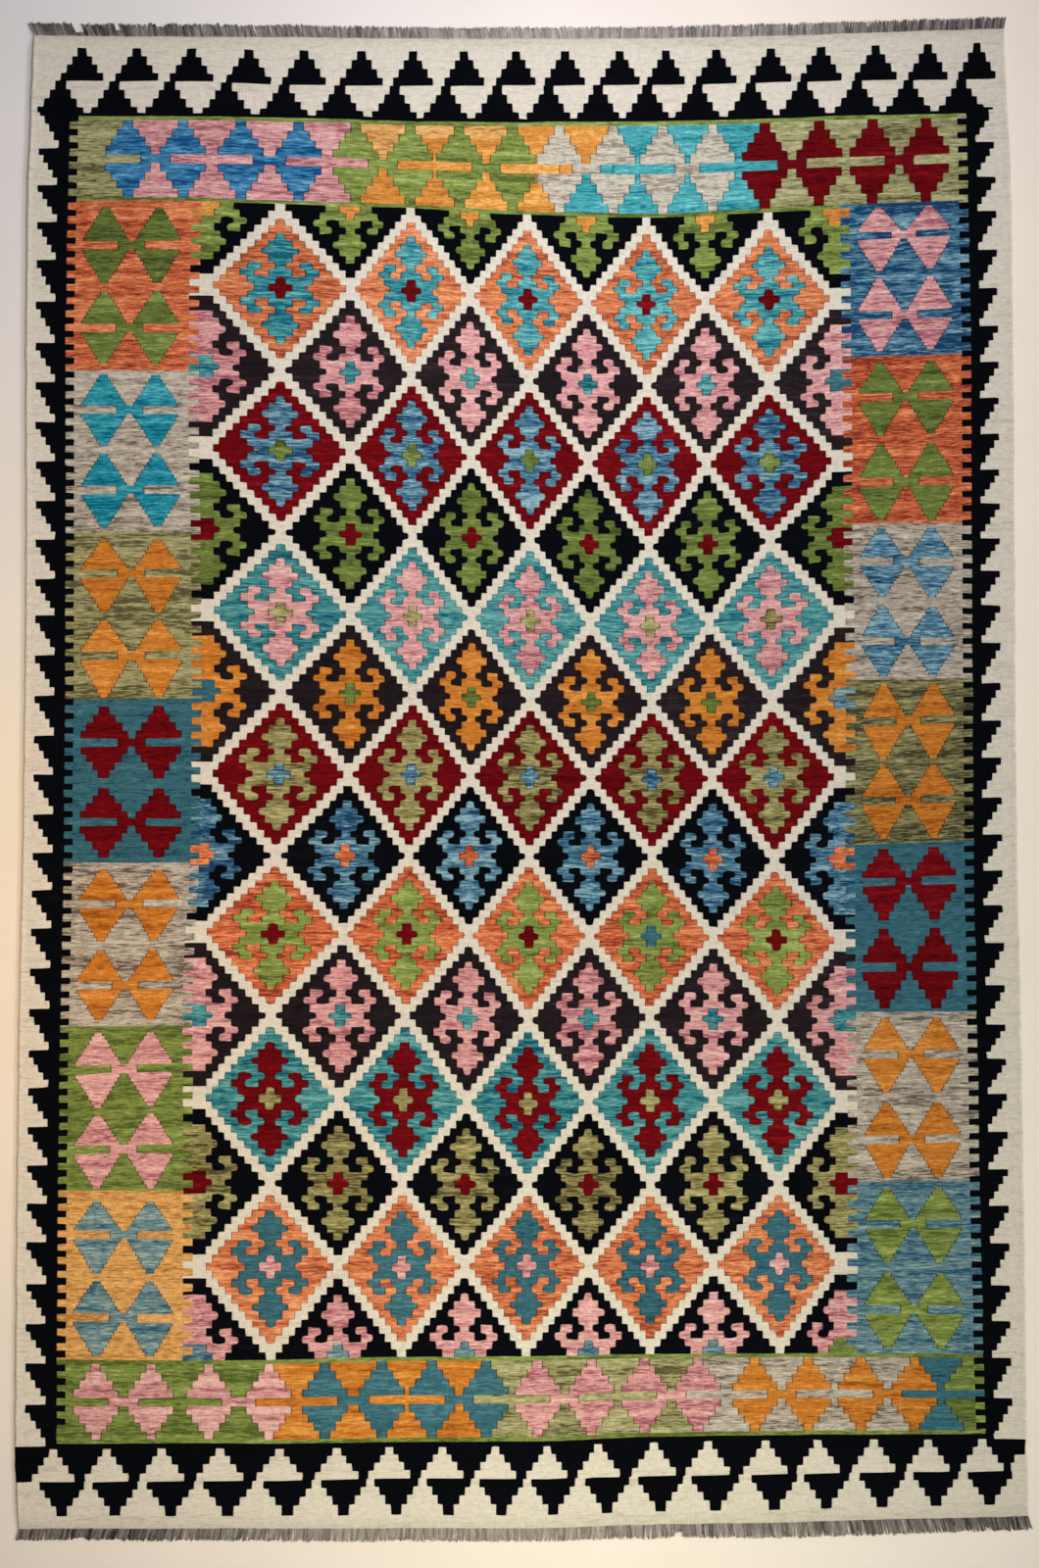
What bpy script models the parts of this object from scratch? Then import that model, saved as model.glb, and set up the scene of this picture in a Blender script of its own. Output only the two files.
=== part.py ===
"""A kilim rug of about 2 x 3 m: one flat tapestry-woven cloth with a warp fringe at each end.

Metres, +Z up. The rug lies flat on z = 0, with its length along Y. The origin is on the
floor, under the middle of the box that holds the whole rug. Three sub-parts: the cloth,
which is one flat solid with its woven side edges, and a fringe at each end, whose locks
grow out of the narrow twined row that closes the weave.
"""
import math

import bpy
import numpy as np

# The cloth.
CLOTH_LENGTH = 3.002          # along the side edges, without the fringes
CLOTH_THICKNESS = 0.0027      # a plain slit-tapestry weave of hand-spun wool
THICKNESS_SWELL = 0.0002      # how far the beaten weft swells and thins
GRID_ROWS = 90                # cells along the length
GRID_COLUMNS = 16             # cells across

# The side edges as they lie: distance down from the far end, then the x of both edges.
SIDE_EDGES = (
    # down, left, right
    (0.000, -0.9816, 0.9675),
    (0.049, -0.9855, 0.9739),
    (0.227, -0.9885, 0.9802),
    (0.330, -0.9934, 0.9871),
    (0.523, -0.9974, 0.9885),
    (0.780, -0.9974, 0.9944),
    (1.020, -0.9964, 0.9934),
    (1.270, -0.9978, 0.9944),
    (1.511, -1.0013, 0.9964),
    (1.750, -1.0072, 1.0011),
    (2.005, -1.0112, 1.0063),
    (2.260, -1.0132, 1.0092),
    (2.498, -1.0161, 1.0132),
    (2.700, -1.0181, 1.0177),
    (2.860, -1.0191, 1.0181),
    (2.919, -1.0191, 1.0191),
    (3.002, -1.0132, 1.0211),
)
SCALLOP_DEPTH = 0.0011        # the side edges pull in a little between their packed lumps
SCALLOP_PITCH = 0.083

# The two ends, which bow as the loom let them: share of the width, then y.
FAR_END = (
    # across, y
    (0.000, 1.5030),
    (0.117, 1.5016),
    (0.269, 1.4988),
    (0.472, 1.4961),
    (0.674, 1.4974),
    (0.826, 1.5040),
    (0.928, 1.5099),
    (1.000, 1.5168),
)
NEAR_END = (
    # across, y
    (0.000, -1.5069),
    (0.040, -1.5020),
    (0.140, -1.5016),
    (0.273, -1.5055),
    (0.400, -1.5055),
    (0.516, -1.5048),
    (0.590, -1.5012),
    (0.640, -1.4953),
    (0.760, -1.4925),
    (0.880, -1.4860),
    (0.950, -1.4818),
    (1.000, -1.4793),
)

# The fringes.
SEAM_GAP = 0.0003             # between the cloth's end and the twined row
TWINED_WIDTH = 0.0042         # the row that locks the last weft in
TWINED_HEIGHT = 0.0030
LOCK_COUNT = 150              # locks of warp ends in each fringe
LOCK_ROOT_SHARE = 0.80        # of the pitch, so neighbours stand apart
LOCK_TIP_SHARE = 0.46
LOCK_TIP_HEIGHT = 0.0018
LOCK_LENGTH = 0.0285
LOCK_LENGTH_SPREAD = 0.0030
LOCK_LEAN = 0.0080            # sideways reach of a leaning lock's tip


def smooth_curve(stations, column):
    """A smooth function through one column of a table, against the table's first column."""
    table = np.array(stations)
    at, value = table[:, 0], table[:, column]
    slope = np.gradient(value, at)

    def curve(where):
        cell = int(np.clip(np.searchsorted(at, where) - 1, 0, len(at) - 2))
        span = at[cell + 1] - at[cell]
        t = min(max((where - at[cell]) / span, 0.0), 1.0)
        return float(
            (2 * t**3 - 3 * t**2 + 1) * value[cell]
            + (t**3 - 2 * t**2 + t) * span * slope[cell]
            + (3 * t**2 - 2 * t**3) * value[cell + 1]
            + (t**3 - t**2) * span * slope[cell + 1]
        )

    return curve


LEFT_EDGE = smooth_curve(SIDE_EDGES, 1)
RIGHT_EDGE = smooth_curve(SIDE_EDGES, 2)
FAR_EDGE = smooth_curve(FAR_END, 1)
NEAR_EDGE = smooth_curve(NEAR_END, 1)


def scallop(down):
    """How far a side edge pulls in at this distance from the far end."""
    turn = 2 * math.pi * down / SCALLOP_PITCH
    return SCALLOP_DEPTH * (math.sin(turn) + 0.5 * math.sin(0.37 * turn))


def cloth_point(across, along):
    """The plan position at a share of the width and of the length, from the near left corner."""
    down = (1 - along) * CLOTH_LENGTH
    left = LEFT_EDGE(down) + scallop(down)
    right = RIGHT_EDGE(down) - scallop(down + 0.4 * SCALLOP_PITCH)
    x = left + (right - left) * across
    y = NEAR_EDGE(across) + (FAR_EDGE(across) - NEAR_EDGE(across)) * along
    return x, y


def end_point(across, along):
    """The same on the cloth's straight grid edges, where a fringe is set against an end."""
    cell = min(int(across * GRID_COLUMNS), GRID_COLUMNS - 1)
    share = across * GRID_COLUMNS - cell
    start = cloth_point(cell / GRID_COLUMNS, along)
    stop = cloth_point((cell + 1) / GRID_COLUMNS, along)
    return tuple(a + (b - a) * share for a, b in zip(start, stop))


def cloth_height(across, along):
    """The upper face swells and thins gently where the weft was beaten in."""
    swell = math.sin(9.0 * along + 2.0 * across) * math.sin(7.0 * across + 1.3)
    return CLOTH_THICKNESS + THICKNESS_SWELL * swell


def wool_material(name, colour, roughness):
    """A plain wool finish."""
    material = bpy.data.materials.new(name)
    material.use_nodes = True
    shader = material.node_tree.nodes["Principled BSDF"]
    shader.inputs["Base Color"].default_value = (*colour, 1.0)
    shader.inputs["Roughness"].default_value = roughness
    shader.inputs["Metallic"].default_value = 0.0
    return material


def add_object(name, points, faces, material):
    """One closed mesh as a named object."""
    mesh = bpy.data.meshes.new(name)
    mesh.from_pydata(points, [], faces)
    mesh.materials.append(material)
    mesh.update()
    item = bpy.data.objects.new(name, mesh)
    bpy.context.scene.collection.objects.link(item)
    return item


def make_cloth(material):
    """The woven cloth: a grid of points above, the same plan flat on the floor below."""
    points = []
    row_length = GRID_COLUMNS + 1
    for row in range(GRID_ROWS + 1):
        for column in range(row_length):
            across, along = column / GRID_COLUMNS, row / GRID_ROWS
            x, y = cloth_point(across, along)
            points.append((x, y, cloth_height(across, along)))
    below = len(points)
    points += [(x, y, 0.0) for x, y, _ in points]

    faces = []
    for row in range(GRID_ROWS):
        for column in range(GRID_COLUMNS):
            near = row * row_length + column
            far = near + row_length
            faces.append((near, near + 1, far + 1, far))
            faces.append((below + near, below + far, below + far + 1, below + near + 1))

    last_row = GRID_ROWS * row_length
    rim = list(range(row_length))
    rim += [row * row_length + GRID_COLUMNS for row in range(1, GRID_ROWS + 1)]
    rim += [last_row + column for column in range(GRID_COLUMNS - 1, -1, -1)]
    rim += [row * row_length for row in range(GRID_ROWS - 1, 0, -1)]
    for here, following in zip(rim, rim[1:] + rim[:1]):
        faces.append((here, below + here, below + following, following))
    return add_object("rug_cloth", points, faces, material)


def lock_lean(lock):
    """Locks lie over together in long waves, with a quicker sway on top."""
    return LOCK_LEAN * (0.75 * math.sin(0.27 * lock + 0.8) + 0.35 * math.sin(0.71 * lock))


def lock_length(lock):
    """No two neighbouring locks were trimmed quite alike."""
    return LOCK_LENGTH + LOCK_LENGTH_SPREAD * math.sin(2.3 * lock) * math.cos(0.9 * lock)


def make_fringe(name, along, outward, material):
    """A twined row along one end of the cloth, with its locks lying flat on the floor.

    along is 1 for the far end and 0 for the near end; outward is the sign of y there.
    """
    pitch = 1 / LOCK_COUNT
    margin = (1 - LOCK_ROOT_SHARE) / 2 * pitch
    stations = [0.0]
    for lock in range(LOCK_COUNT):
        stations += [lock * pitch + margin, (lock + 1) * pitch - margin]
    stations.append(1.0)

    points, faces = [], []
    for across in stations:
        x, y = end_point(across, along)
        inner = y + outward * SEAM_GAP
        outer = inner + outward * TWINED_WIDTH
        points += [
            (x, inner, 0.0),
            (x, inner, TWINED_HEIGHT),
            (x, outer, TWINED_HEIGHT),
            (x, outer, 0.0),
        ]

    def section(station):
        return [4 * station + corner for corner in range(4)]

    faces.append(tuple(section(0)))
    faces.append(tuple(reversed(section(len(stations) - 1))))
    for cell in range(len(stations) - 1):
        here, following = section(cell), section(cell + 1)
        for side, corner in enumerate((1, 2, 3, 0)):
            holds_lock = side == 2 and cell % 2 == 1
            if not holds_lock:
                faces.append((here[side], following[side], following[corner], here[corner]))

    for lock in range(LOCK_COUNT):
        cell = 2 * lock + 1
        left_root, right_root = section(cell), section(cell + 1)
        left, right = points[left_root[2]], points[right_root[2]]
        middle_x = (left[0] + right[0]) / 2 + lock_lean(lock)
        middle_y = (left[1] + right[1]) / 2 + outward * lock_length(lock)
        half_width = (right[0] - left[0]) / 2 * LOCK_TIP_SHARE / LOCK_ROOT_SHARE
        first = len(points)
        points += [
            (middle_x - half_width, middle_y, LOCK_TIP_HEIGHT),
            (middle_x + half_width, middle_y, LOCK_TIP_HEIGHT),
            (middle_x + half_width, middle_y, 0.0),
            (middle_x - half_width, middle_y, 0.0),
        ]
        tip = [first + corner for corner in range(4)]
        root = [left_root[2], right_root[2], right_root[3], left_root[3]]
        for side in range(4):
            corner = (side + 1) % 4
            faces.append((root[side], root[corner], tip[corner], tip[side]))
        faces.append(tuple(tip))

    if outward < 0:
        faces = [tuple(reversed(face)) for face in faces]
    return add_object(name, points, faces, material)


def centre_on_origin(items):
    """Moves every point so that the origin is under the middle of the whole rug."""
    plan = np.array([point.co[:2] for item in items for point in item.data.vertices])
    middle = (plan.min(axis=0) + plan.max(axis=0)) / 2
    for item in items:
        for point in item.data.vertices:
            point.co.x -= middle[0]
            point.co.y -= middle[1]
        item.data.update()


def main():
    for item in list(bpy.data.objects):
        bpy.data.objects.remove(item)
    kilim_wool = wool_material("kilim_wool", (0.60, 0.42, 0.28), 0.92)
    warp_wool = wool_material("warp_wool", (0.24, 0.23, 0.22), 0.95)
    cloth = make_cloth(kilim_wool)
    fringe_far = make_fringe("fringe_top", 1, 1, warp_wool)
    fringe_near = make_fringe("fringe_bottom", 0, -1, warp_wool)
    centre_on_origin([cloth, fringe_far, fringe_near])


main()
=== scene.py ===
"""The looks of a hand-woven kilim rug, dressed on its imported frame.

Everything woven is first laid out in a flat plan, in millimetres: s runs across the rug
from its left side edge and t runs down from its far end. Two guides then carry the plan to
where the real cloth lies, with the pull and bow that the loom gave it. The guides hold
places measured in the photograph, in its own 1060 x 1600 pixels.
"""
import math
import random
from bisect import bisect_left, bisect_right, insort
from collections import defaultdict
from functools import lru_cache

import bpy
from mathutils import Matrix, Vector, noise


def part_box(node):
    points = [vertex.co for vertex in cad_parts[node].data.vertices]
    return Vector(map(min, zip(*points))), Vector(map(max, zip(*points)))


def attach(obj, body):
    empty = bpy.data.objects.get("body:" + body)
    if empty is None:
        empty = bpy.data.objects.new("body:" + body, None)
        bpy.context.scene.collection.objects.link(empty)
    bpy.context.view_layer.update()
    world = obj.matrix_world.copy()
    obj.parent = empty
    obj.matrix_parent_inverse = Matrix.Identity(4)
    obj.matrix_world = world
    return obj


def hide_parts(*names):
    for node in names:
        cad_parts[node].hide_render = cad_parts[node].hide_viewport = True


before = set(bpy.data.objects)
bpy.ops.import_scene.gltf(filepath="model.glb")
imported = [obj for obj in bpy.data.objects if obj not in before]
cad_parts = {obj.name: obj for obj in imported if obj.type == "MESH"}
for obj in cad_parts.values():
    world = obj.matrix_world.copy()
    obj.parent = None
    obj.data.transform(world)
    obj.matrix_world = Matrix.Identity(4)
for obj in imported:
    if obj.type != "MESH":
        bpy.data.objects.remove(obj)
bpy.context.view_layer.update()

WANDER_SEED = 7               # without a fixed seed, noise_vector differs from run to run
noise.seed_set(WANDER_SEED)

PIXEL = 0.001975              # metres of rug for one pixel of the photograph
PHOTO_MIDDLE = (531.5, 797.5)  # the pixel that the part's source measures from

# The plan, in millimetres.
WIDTH = 2006.0
LENGTH = 2998.0
COMB_LEFT = 100.0             # where the left border's comb ends
CORE_LEFT = (60.0, 81.5)      # the solid black of the left border
PANELS_LEFT_END = 336.5
FIELD_LEFT = 357.5
FIELD_RIGHT = 1660.3
PANELS_RIGHT_START = 1681.0
COMB_RIGHT = 1898.0
CORE_RIGHT = (1918.0, 1936.0)
BAND_TOP = 162.0              # the far band's black ground line ends here
FIELD_TOP = 339.0
FIELD_BOTTOM = 2664.0
BAND_BOTTOM = 2831.0          # the near band starts here

# Where the plan's lines down lie: the photo x at these s, for lines at each t.
GUIDE_S = (
    0.0, 100.0, 357.5, 387.2, 504.5, 630.6, 756.7, 882.8, 1008.9, 1135.0, 1261.1, 1387.2, 1513.3,
    1630.6, 1660.3, 1898.0, 2006.0,
)
GUIDE_X = (
    # t, then the photo x of: left edge, left comb, the half diamonds' outer and inner edge,
    # nine columns of diamonds, the half diamonds' inner and outer edge, right comb, right edge
    (0.0, 34.5, 83.0, 209.0, 223.0, 292.0, 358.5, 420.0, 479.0,
     537.0, 597.5, 658.0, 719.0, 782.0, 843.0, 856.5, 975.0, 1023.0),
    (162.0, 31.5, 80.5, 207.0, 221.0, 289.0, 358.5, 419.5, 479.3,
     537.0, 597.5, 658.5, 719.0, 782.0, 845.0, 857.0, 976.0, 1027.5),
    (339.0, 28.4, 78.4, 205.8, 219.0, 286.2, 357.2, 419.0, 479.5,
     537.5, 597.7, 659.3, 719.0, 783.3, 845.0, 857.4, 978.0, 1031.2),
    (676.5, 26.5, 75.8, 202.4, 217.0, 286.5, 357.2, 419.8, 480.0,
     539.5, 599.5, 659.8, 720.2, 784.5, 847.0, 859.0, 981.0, 1033.2),
    (1006.5, 27.0, 76.0, 204.4, 218.0, 286.6, 357.5, 420.8, 481.2,
     541.0, 600.6, 661.5, 722.0, 785.3, 849.0, 860.6, 981.6, 1034.5),
    (1336.5, 25.4, 75.4, 205.8, 218.6, 286.3, 357.2, 421.0, 480.8,
     541.0, 602.8, 664.5, 725.4, 787.6, 851.0, 863.2, 982.4, 1035.5),
    (1666.5, 23.2, 74.0, 203.3, 214.0, 281.2, 352.3, 416.8, 479.0,
     539.8, 602.3, 665.2, 727.4, 790.2, 850.2, 862.5, 983.6, 1037.3),
    (1996.5, 19.6, 70.6, 196.3, 210.0, 276.2, 347.5, 413.5, 477.1,
     539.0, 600.3, 662.8, 727.7, 793.0, 851.4, 863.6, 986.6, 1041.0),
    (2326.5, 17.8, 68.3, 196.8, 210.0, 275.2, 344.8, 410.3, 475.0,
     538.0, 600.2, 663.4, 727.7, 794.0, 852.2, 865.0, 989.2, 1043.4),
    (2664.0, 16.0, 67.4, 196.6, 210.3, 276.3, 344.9, 409.5, 473.8,
     536.5, 600.2, 663.0, 727.7, 795.5, 850.5, 863.5, 993.4, 1045.8),
    (2831.0, 15.5, 67.0, 194.5, 209.5, 275.4, 346.6, 411.0, 473.9,
     535.5, 597.9, 660.3, 727.2, 795.8, 852.5, 865.5, 996.0, 1047.0),
    (2998.0, 18.5, 67.0, 193.5, 209.0, 275.0, 346.5, 411.0, 474.0,
     535.4, 598.0, 660.5, 727.3, 795.5, 853.0, 866.0, 999.0, 1048.5),
)

# The same for the plan's lines across: the photo y at these s, for lines at each t.
BOW_S = (0.0, 357.5, 504.5, 756.7, 1008.9, 1261.1, 1513.3, 1660.3, 2006.0)
GUIDE_Y = (
    # t, then the photo y at: left edge, field edge, five columns of diamonds, field edge, right edge
    (0.0, 36.5, 38.0, 38.5, 39.5, 40.0, 39.3, 37.0, 34.5, 29.5),
    (91.0, 82.6, 83.4, 87.0, 88.0, 87.6, 87.2, 84.5, 82.8, 81.0),
    (162.0, 118.5, 118.8, 120.5, 124.0, 124.8, 124.5, 121.5, 118.7, 115.0),
    (339.0, 204.8, 205.5, 208.3, 212.5, 219.5, 222.0, 217.0, 213.0, 207.0),
    (425.0, 248.3, 247.6, 250.8, 254.0, 263.2, 269.0, 265.5, 262.5, 252.5),
    (511.5, 291.5, 290.5, 293.8, 297.0, 306.0, 310.5, 305.6, 305.0, 298.2),
    (676.5, 372.8, 373.7, 378.0, 383.0, 389.3, 394.0, 391.6, 388.0, 381.5),
    (841.5, 454.8, 456.4, 459.7, 464.3, 469.3, 474.7, 472.0, 470.3, 464.8),
    (924.0, 497.8, 498.1, 501.5, 505.8, 510.3, 517.5, 514.5, 510.8, 506.4),
    (1006.5, 540.8, 539.8, 543.3, 547.3, 551.2, 558.0, 552.3, 548.8, 548.0),
    (1171.5, 624.3, 622.5, 625.2, 628.6, 633.4, 639.0, 632.0, 629.0, 631.2),
    (1336.5, 706.7, 704.5, 706.2, 708.8, 714.8, 717.5, 715.6, 712.8, 708.0),
    (1501.5, 788.5, 788.8, 790.0, 790.4, 793.2, 795.3, 793.3, 792.5, 786.2),
    (1666.5, 871.0, 871.2, 873.2, 873.0, 873.8, 874.6, 878.2, 875.4, 869.4),
    (1831.5, 954.2, 950.8, 953.0, 953.0, 955.8, 955.4, 959.2, 959.8, 956.6),
    (1996.5, 1037.2, 1035.6, 1036.2, 1036.3, 1041.2, 1038.0, 1041.6, 1041.0, 1040.0),
    (2161.5, 1124.6, 1119.5, 1120.8, 1122.3, 1126.2, 1123.0, 1122.6, 1123.7, 1121.3),
    (2244.0, 1165.8, 1162.9, 1164.1, 1165.3, 1167.6, 1164.4, 1163.0, 1165.7, 1162.8),
    (2326.5, 1207.0, 1206.2, 1207.3, 1208.2, 1208.9, 1209.3, 1207.8, 1207.6, 1204.2),
    (2491.5, 1290.8, 1291.8, 1292.5, 1292.8, 1291.2, 1291.8, 1289.0, 1289.0, 1288.3),
    (2664.0, 1386.0, 1388.0, 1387.5, 1384.3, 1383.9, 1381.5, 1380.7, 1380.3, 1382.4),
    (2831.0, 1473.4, 1472.2, 1472.6, 1471.0, 1470.5, 1466.0, 1464.0, 1463.4, 1462.8),
    (2906.0, 1512.1, 1511.3, 1510.9, 1508.3, 1509.0, 1506.1, 1504.1, 1502.7, 1500.4),
    (2998.0, 1559.5, 1559.3, 1559.3, 1559.0, 1559.3, 1555.3, 1553.4, 1551.0, 1546.5),
)

# Dyed yarns: light, middle and dark tones in sRGB, then how strongly the dye bands and streaks.
YARNS = {
    "ivory": ((226, 218, 204), (214, 205, 189), (190, 180, 163), 0.3, 0.5),
    "night": ((14, 17, 25), (4, 6, 11), (2, 3, 5), 0.4, 0.6),
    "charcoal": ((50, 41, 44), (31, 24, 27), (18, 14, 17), 0.5, 0.8),
    "red": ((128, 18, 26), (99, 6, 13), (66, 4, 9), 0.6, 1.0),
    "rust": ((224, 140, 95), (190, 97, 60), (132, 49, 35), 0.9, 1.5),
    "orange": ((228, 154, 110), (200, 116, 74), (148, 68, 46), 0.9, 1.4),
    "gold": ((216, 148, 72), (191, 116, 42), (148, 80, 26), 0.8, 1.1),
    "amber": ((228, 168, 92), (203, 135, 60), (164, 98, 40), 0.8, 1.1),
    "peach": ((232, 188, 126), (212, 160, 94), (170, 116, 58), 0.7, 1.2),
    "green": ((154, 170, 96), (120, 135, 66), (82, 95, 43), 0.9, 1.2),
    "leaf": ((134, 150, 80), (99, 113, 53), (64, 75, 34), 0.8, 1.1),
    "olive": ((178, 173, 128), (145, 141, 97), (86, 81, 53), 1.0, 1.4),
    "khaki": ((174, 166, 116), (137, 129, 81), (76, 70, 41), 1.0, 1.5),
    "moss": ((166, 160, 116), (124, 118, 79), (64, 63, 42), 1.0, 1.5),
    "pink": ((224, 178, 172), (201, 143, 142), (152, 86, 98), 0.9, 1.4),
    "aqua": ((116, 188, 188), (68, 154, 160), (26, 112, 128), 0.9, 1.2),
    "turquoise": ((114, 178, 174), (62, 138, 145), (20, 91, 110), 1.0, 1.5),
    "lagoon": ((108, 164, 160), (60, 128, 133), (18, 80, 98), 1.0, 1.5),
    "cyan": ((78, 166, 177), (33, 132, 150), (8, 90, 115), 0.9, 1.4),
    "azure": ((100, 162, 194), (54, 115, 157), (20, 71, 119), 1.0, 1.5),
    "blue": ((134, 168, 178), (72, 115, 137), (24, 60, 96), 1.1, 1.7),
    "sky": ((150, 170, 165), (97, 129, 136), (42, 83, 109), 0.9, 1.4),
    "teal": ((80, 126, 138), (54, 98, 111), (30, 70, 86), 0.5, 1.0),
    "ash": ((210, 203, 188), (191, 183, 165), (140, 130, 116), 0.7, 1.1),
    "grey": ((196, 186, 170), (165, 153, 138), (98, 87, 77), 0.8, 1.5),
}

# The far band: a row of black stepped trees, each standing on its left neighbour's shoulder.
TREE_APEXES = (
    83.9, 139.8, 195.5, 253.7, 310.4, 368.8, 421.2, 473.5, 526.5, 576.5, 632.3, 679.3, 730.7,
    786.0, 837.7, 893.3, 946.7, 996.2,
)
TREE_FEET = (
    61.9, 116.7, 172.8, 231.1, 289.4, 346.7, 402.4, 454.4, 507.2, 559.5, 610.2, 660.2, 711.2,
    765.6, 818.4, 874.0, 926.5, 980.5,
)
TREE_ROWS = (24.0, 41.0, 58.0, 75.0, 91.0)
TREE_HALVES = (0.081, 0.182, 0.285, 0.392)      # half widths, as shares of the pitch
FOOT_ROWS = (91.0, 108.5, 126.0, 143.5, 155.5)
FOOT_HALVES = (0.096, 0.196, 0.301, 0.424)

# The near band: ivory peaks let into black, over black steps that point down.
PEAKS = (
    54.3, 109.0, 165.5, 224.5, 285.2, 343.3, 397.1, 451.4, 505.2, 557.9, 610.7, 667.1, 722.1,
    781.0, 834.5, 891.0, 946.9, 1001.9,
)
DROPS = (
    63.1, 117.4, 174.0, 232.4, 293.3, 350.7, 404.3, 457.9, 511.4, 564.3, 619.3, 673.6, 729.5,
    789.8, 843.1, 899.8, 954.5, 1009.3,
)
PEAK_ROWS = (2841.5, 2857.5, 2873.5, 2890.0, 2906.0)
PEAK_HALVES = (0.077, 0.174, 0.283, 0.398)
DROP_ROWS = (2906.0, 2922.0, 2937.5, 2954.0, 2974.0)
DROP_HALVES = (0.417, 0.317, 0.208, 0.101)

# The saw teeth of the side borders: the photo y of each tooth's flat upper edge.
LEFT_TEETH = (
    110.3, 151.3, 189.0, 226.7, 265.3, 308.0, 350.0, 390.0, 430.7, 470.7, 511.3, 550.7, 590.7,
    628.0, 668.7, 710.0, 750.7, 790.7, 830.7, 870.0, 908.0, 947.3, 988.0, 1029.3, 1071.3,
    1110.0, 1150.0, 1188.7, 1228.0, 1267.3, 1310.0, 1350.7, 1391.3, 1433.0, 1475.0,
)
RIGHT_TEETH = (
    108.8, 145.1, 180.5, 215.3, 254.7, 294.0, 332.7, 369.3, 406.0, 442.7, 478.7, 513.3, 549.3,
    582.0, 618.0, 656.0, 696.7, 734.7, 772.7, 813.3, 851.3, 888.0, 923.3, 962.0, 1005.0,
    1045.3, 1080.0, 1116.0, 1154.7, 1192.7, 1230.0, 1268.7, 1311.3, 1348.0, 1385.3, 1426.5,
    1468.5,
)
LEFT_TEETH_S, RIGHT_TEETH_S = 30.0, 1970.0      # where across the rug they were measured
LEFT_STEPS = (20.0, 30.0, 40.0, 50.0, 60.0)     # the s where each of a tooth's rows ends
RIGHT_STEPS = (1975.5, 1965.6, 1955.8, 1945.9, 1936.0)

# The combs: the photo y of the middle of every eighth tooth.
LEFT_COMB = (
    121.0, 232.0, 341.0, 451.5, 561.0, 673.0, 789.0, 901.0, 1015.0, 1128.5, 1238.5, 1352.0, 1464.0,
)
RIGHT_COMB = (
    124.5, 240.0, 361.0, 474.5, 592.5, 714.0, 825.0, 937.5, 1057.0, 1174.0, 1290.0, 1401.0, 1511.0,
)
COMB_SPAN = 8
COMB_TOOTH = 13.0
COMB_TEAL, COMB_TEAL_S = (1418.5, 1427.0), 1900.0   # one odd gap of the right comb: photo y
DOVETAILS = ((28.7, 18.0), (30.4, 0.0))  # left, right: pitch, and where the first tooth starts

# Side panels: the photo y where each ends, its ground, its motif, and whether its steps are fine.
LEFT_PANELS = (
    (378.0, "rust", "leaf", True),
    (543.0, "grey", "cyan", True),
    (713.0, "olive", "gold", True),
    (880.0, "teal", "red", False),
    (1047.0, "grey", "gold", True),
    (1215.0, "green", "pink", True),
    (1388.5, "peach", "sky", True),
)
RIGHT_PANELS = (
    (363.0, "blue", "pink", True),
    (534.0, "rust", "leaf", True),
    (693.0, "grey", "blue", True),
    (860.0, "moss", "gold", True),
    (1032.5, "teal", "red", False),
    (1205.0, "grey", "gold", True),
    (1380.0, "sky", "green", True),
)
LEFT_MOTIFS = (160.5, 268.5, 46.0)    # the two columns of diamonds and their half width
RIGHT_MOTIFS = (1739.5, 1837.5, 42.5)
LEFT_PAIRS = (
    # two in each panel: the photo y of a pair's far tips, slots and near tips
    (211.5, 250.5, 289.5), (297.0, 335.0, 372.0), (382.5, 418.3, 455.5), (463.0, 500.0, 538.0),
    (550.5, 584.5, 625.0), (633.0, 668.3, 711.5), (720.5, 757.5, 794.5), (804.0, 839.0, 875.0),
    (887.0, 921.8, 960.0), (969.0, 1005.0, 1041.0), (1053.0, 1090.3, 1129.5), (1136.5, 1172.3, 1213.0),
    (1226.0, 1259.5, 1299.5), (1307.0, 1344.5, 1384.0),
)
RIGHT_PAIRS = (
    (211.0, 238.5, 275.5), (283.0, 321.3, 357.5), (368.5, 404.5, 444.0), (453.0, 491.5, 531.5),
    (539.0, 573.0, 610.0), (619.0, 654.0, 690.0), (698.0, 735.0, 775.0), (780.5, 816.0, 855.0),
    (865.0, 898.8, 939.0), (947.0, 986.5, 1029.5), (1039.0, 1075.3, 1115.0), (1125.0, 1162.0, 1201.5),
    (1211.5, 1248.5, 1288.0), (1299.0, 1336.0, 1376.0),
)

# The strips above and below the field: a colour and the photo x of its diamonds.
TOP_STRIP = (
    ("azure", (130.8, 186.9, 245.7, 304.6)),
    ("green", (363.0, 418.6, 468.7, 523.0)),
    ("ash", (570.7, 625.4, 676.0, 726.9)),
    ("red", (780.0, 835.6, 889.8, 944.5)),
)
BOTTOM_STRIP = (
    ("pink", (98.0, 154.0, 212.9, 274.2)),
    ("teal", (331.3, 389.5, 440.7, 495.8)),
    ("pink", (548.3, 603.7, 657.4, 712.2)),
    ("gold", (769.9, 824.8, 877.9, 933.0)),
)
STRIP_ROWS = 9
SLOT_ROW = 4
TOP_GROUNDS = (   # photo x from and to, rows from and to, colour
    (130.8, 363.0, 0, 9, "pink"), (363.0, 570.7, 0, 9, "amber"), (363.0, 418.6, 0, 4, "peach"),
    (418.6, 523.0, 0, 1.4, "peach"), (570.7, 625.4, 0, 4, "amber"), (570.7, 625.4, 4, 9, "aqua"),
    (625.4, 780.0, 0, 9, "aqua"),
)
TOP_SLOTS = ((130.8, "olive"), (363.0, "pink"), (570.7, "amber"), (780.0, "aqua"))
BOTTOM_SLOTS = ((274.2, "gold"), (495.8, "olive"), (712.2, "grey"), (933.0, "teal"))
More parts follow.
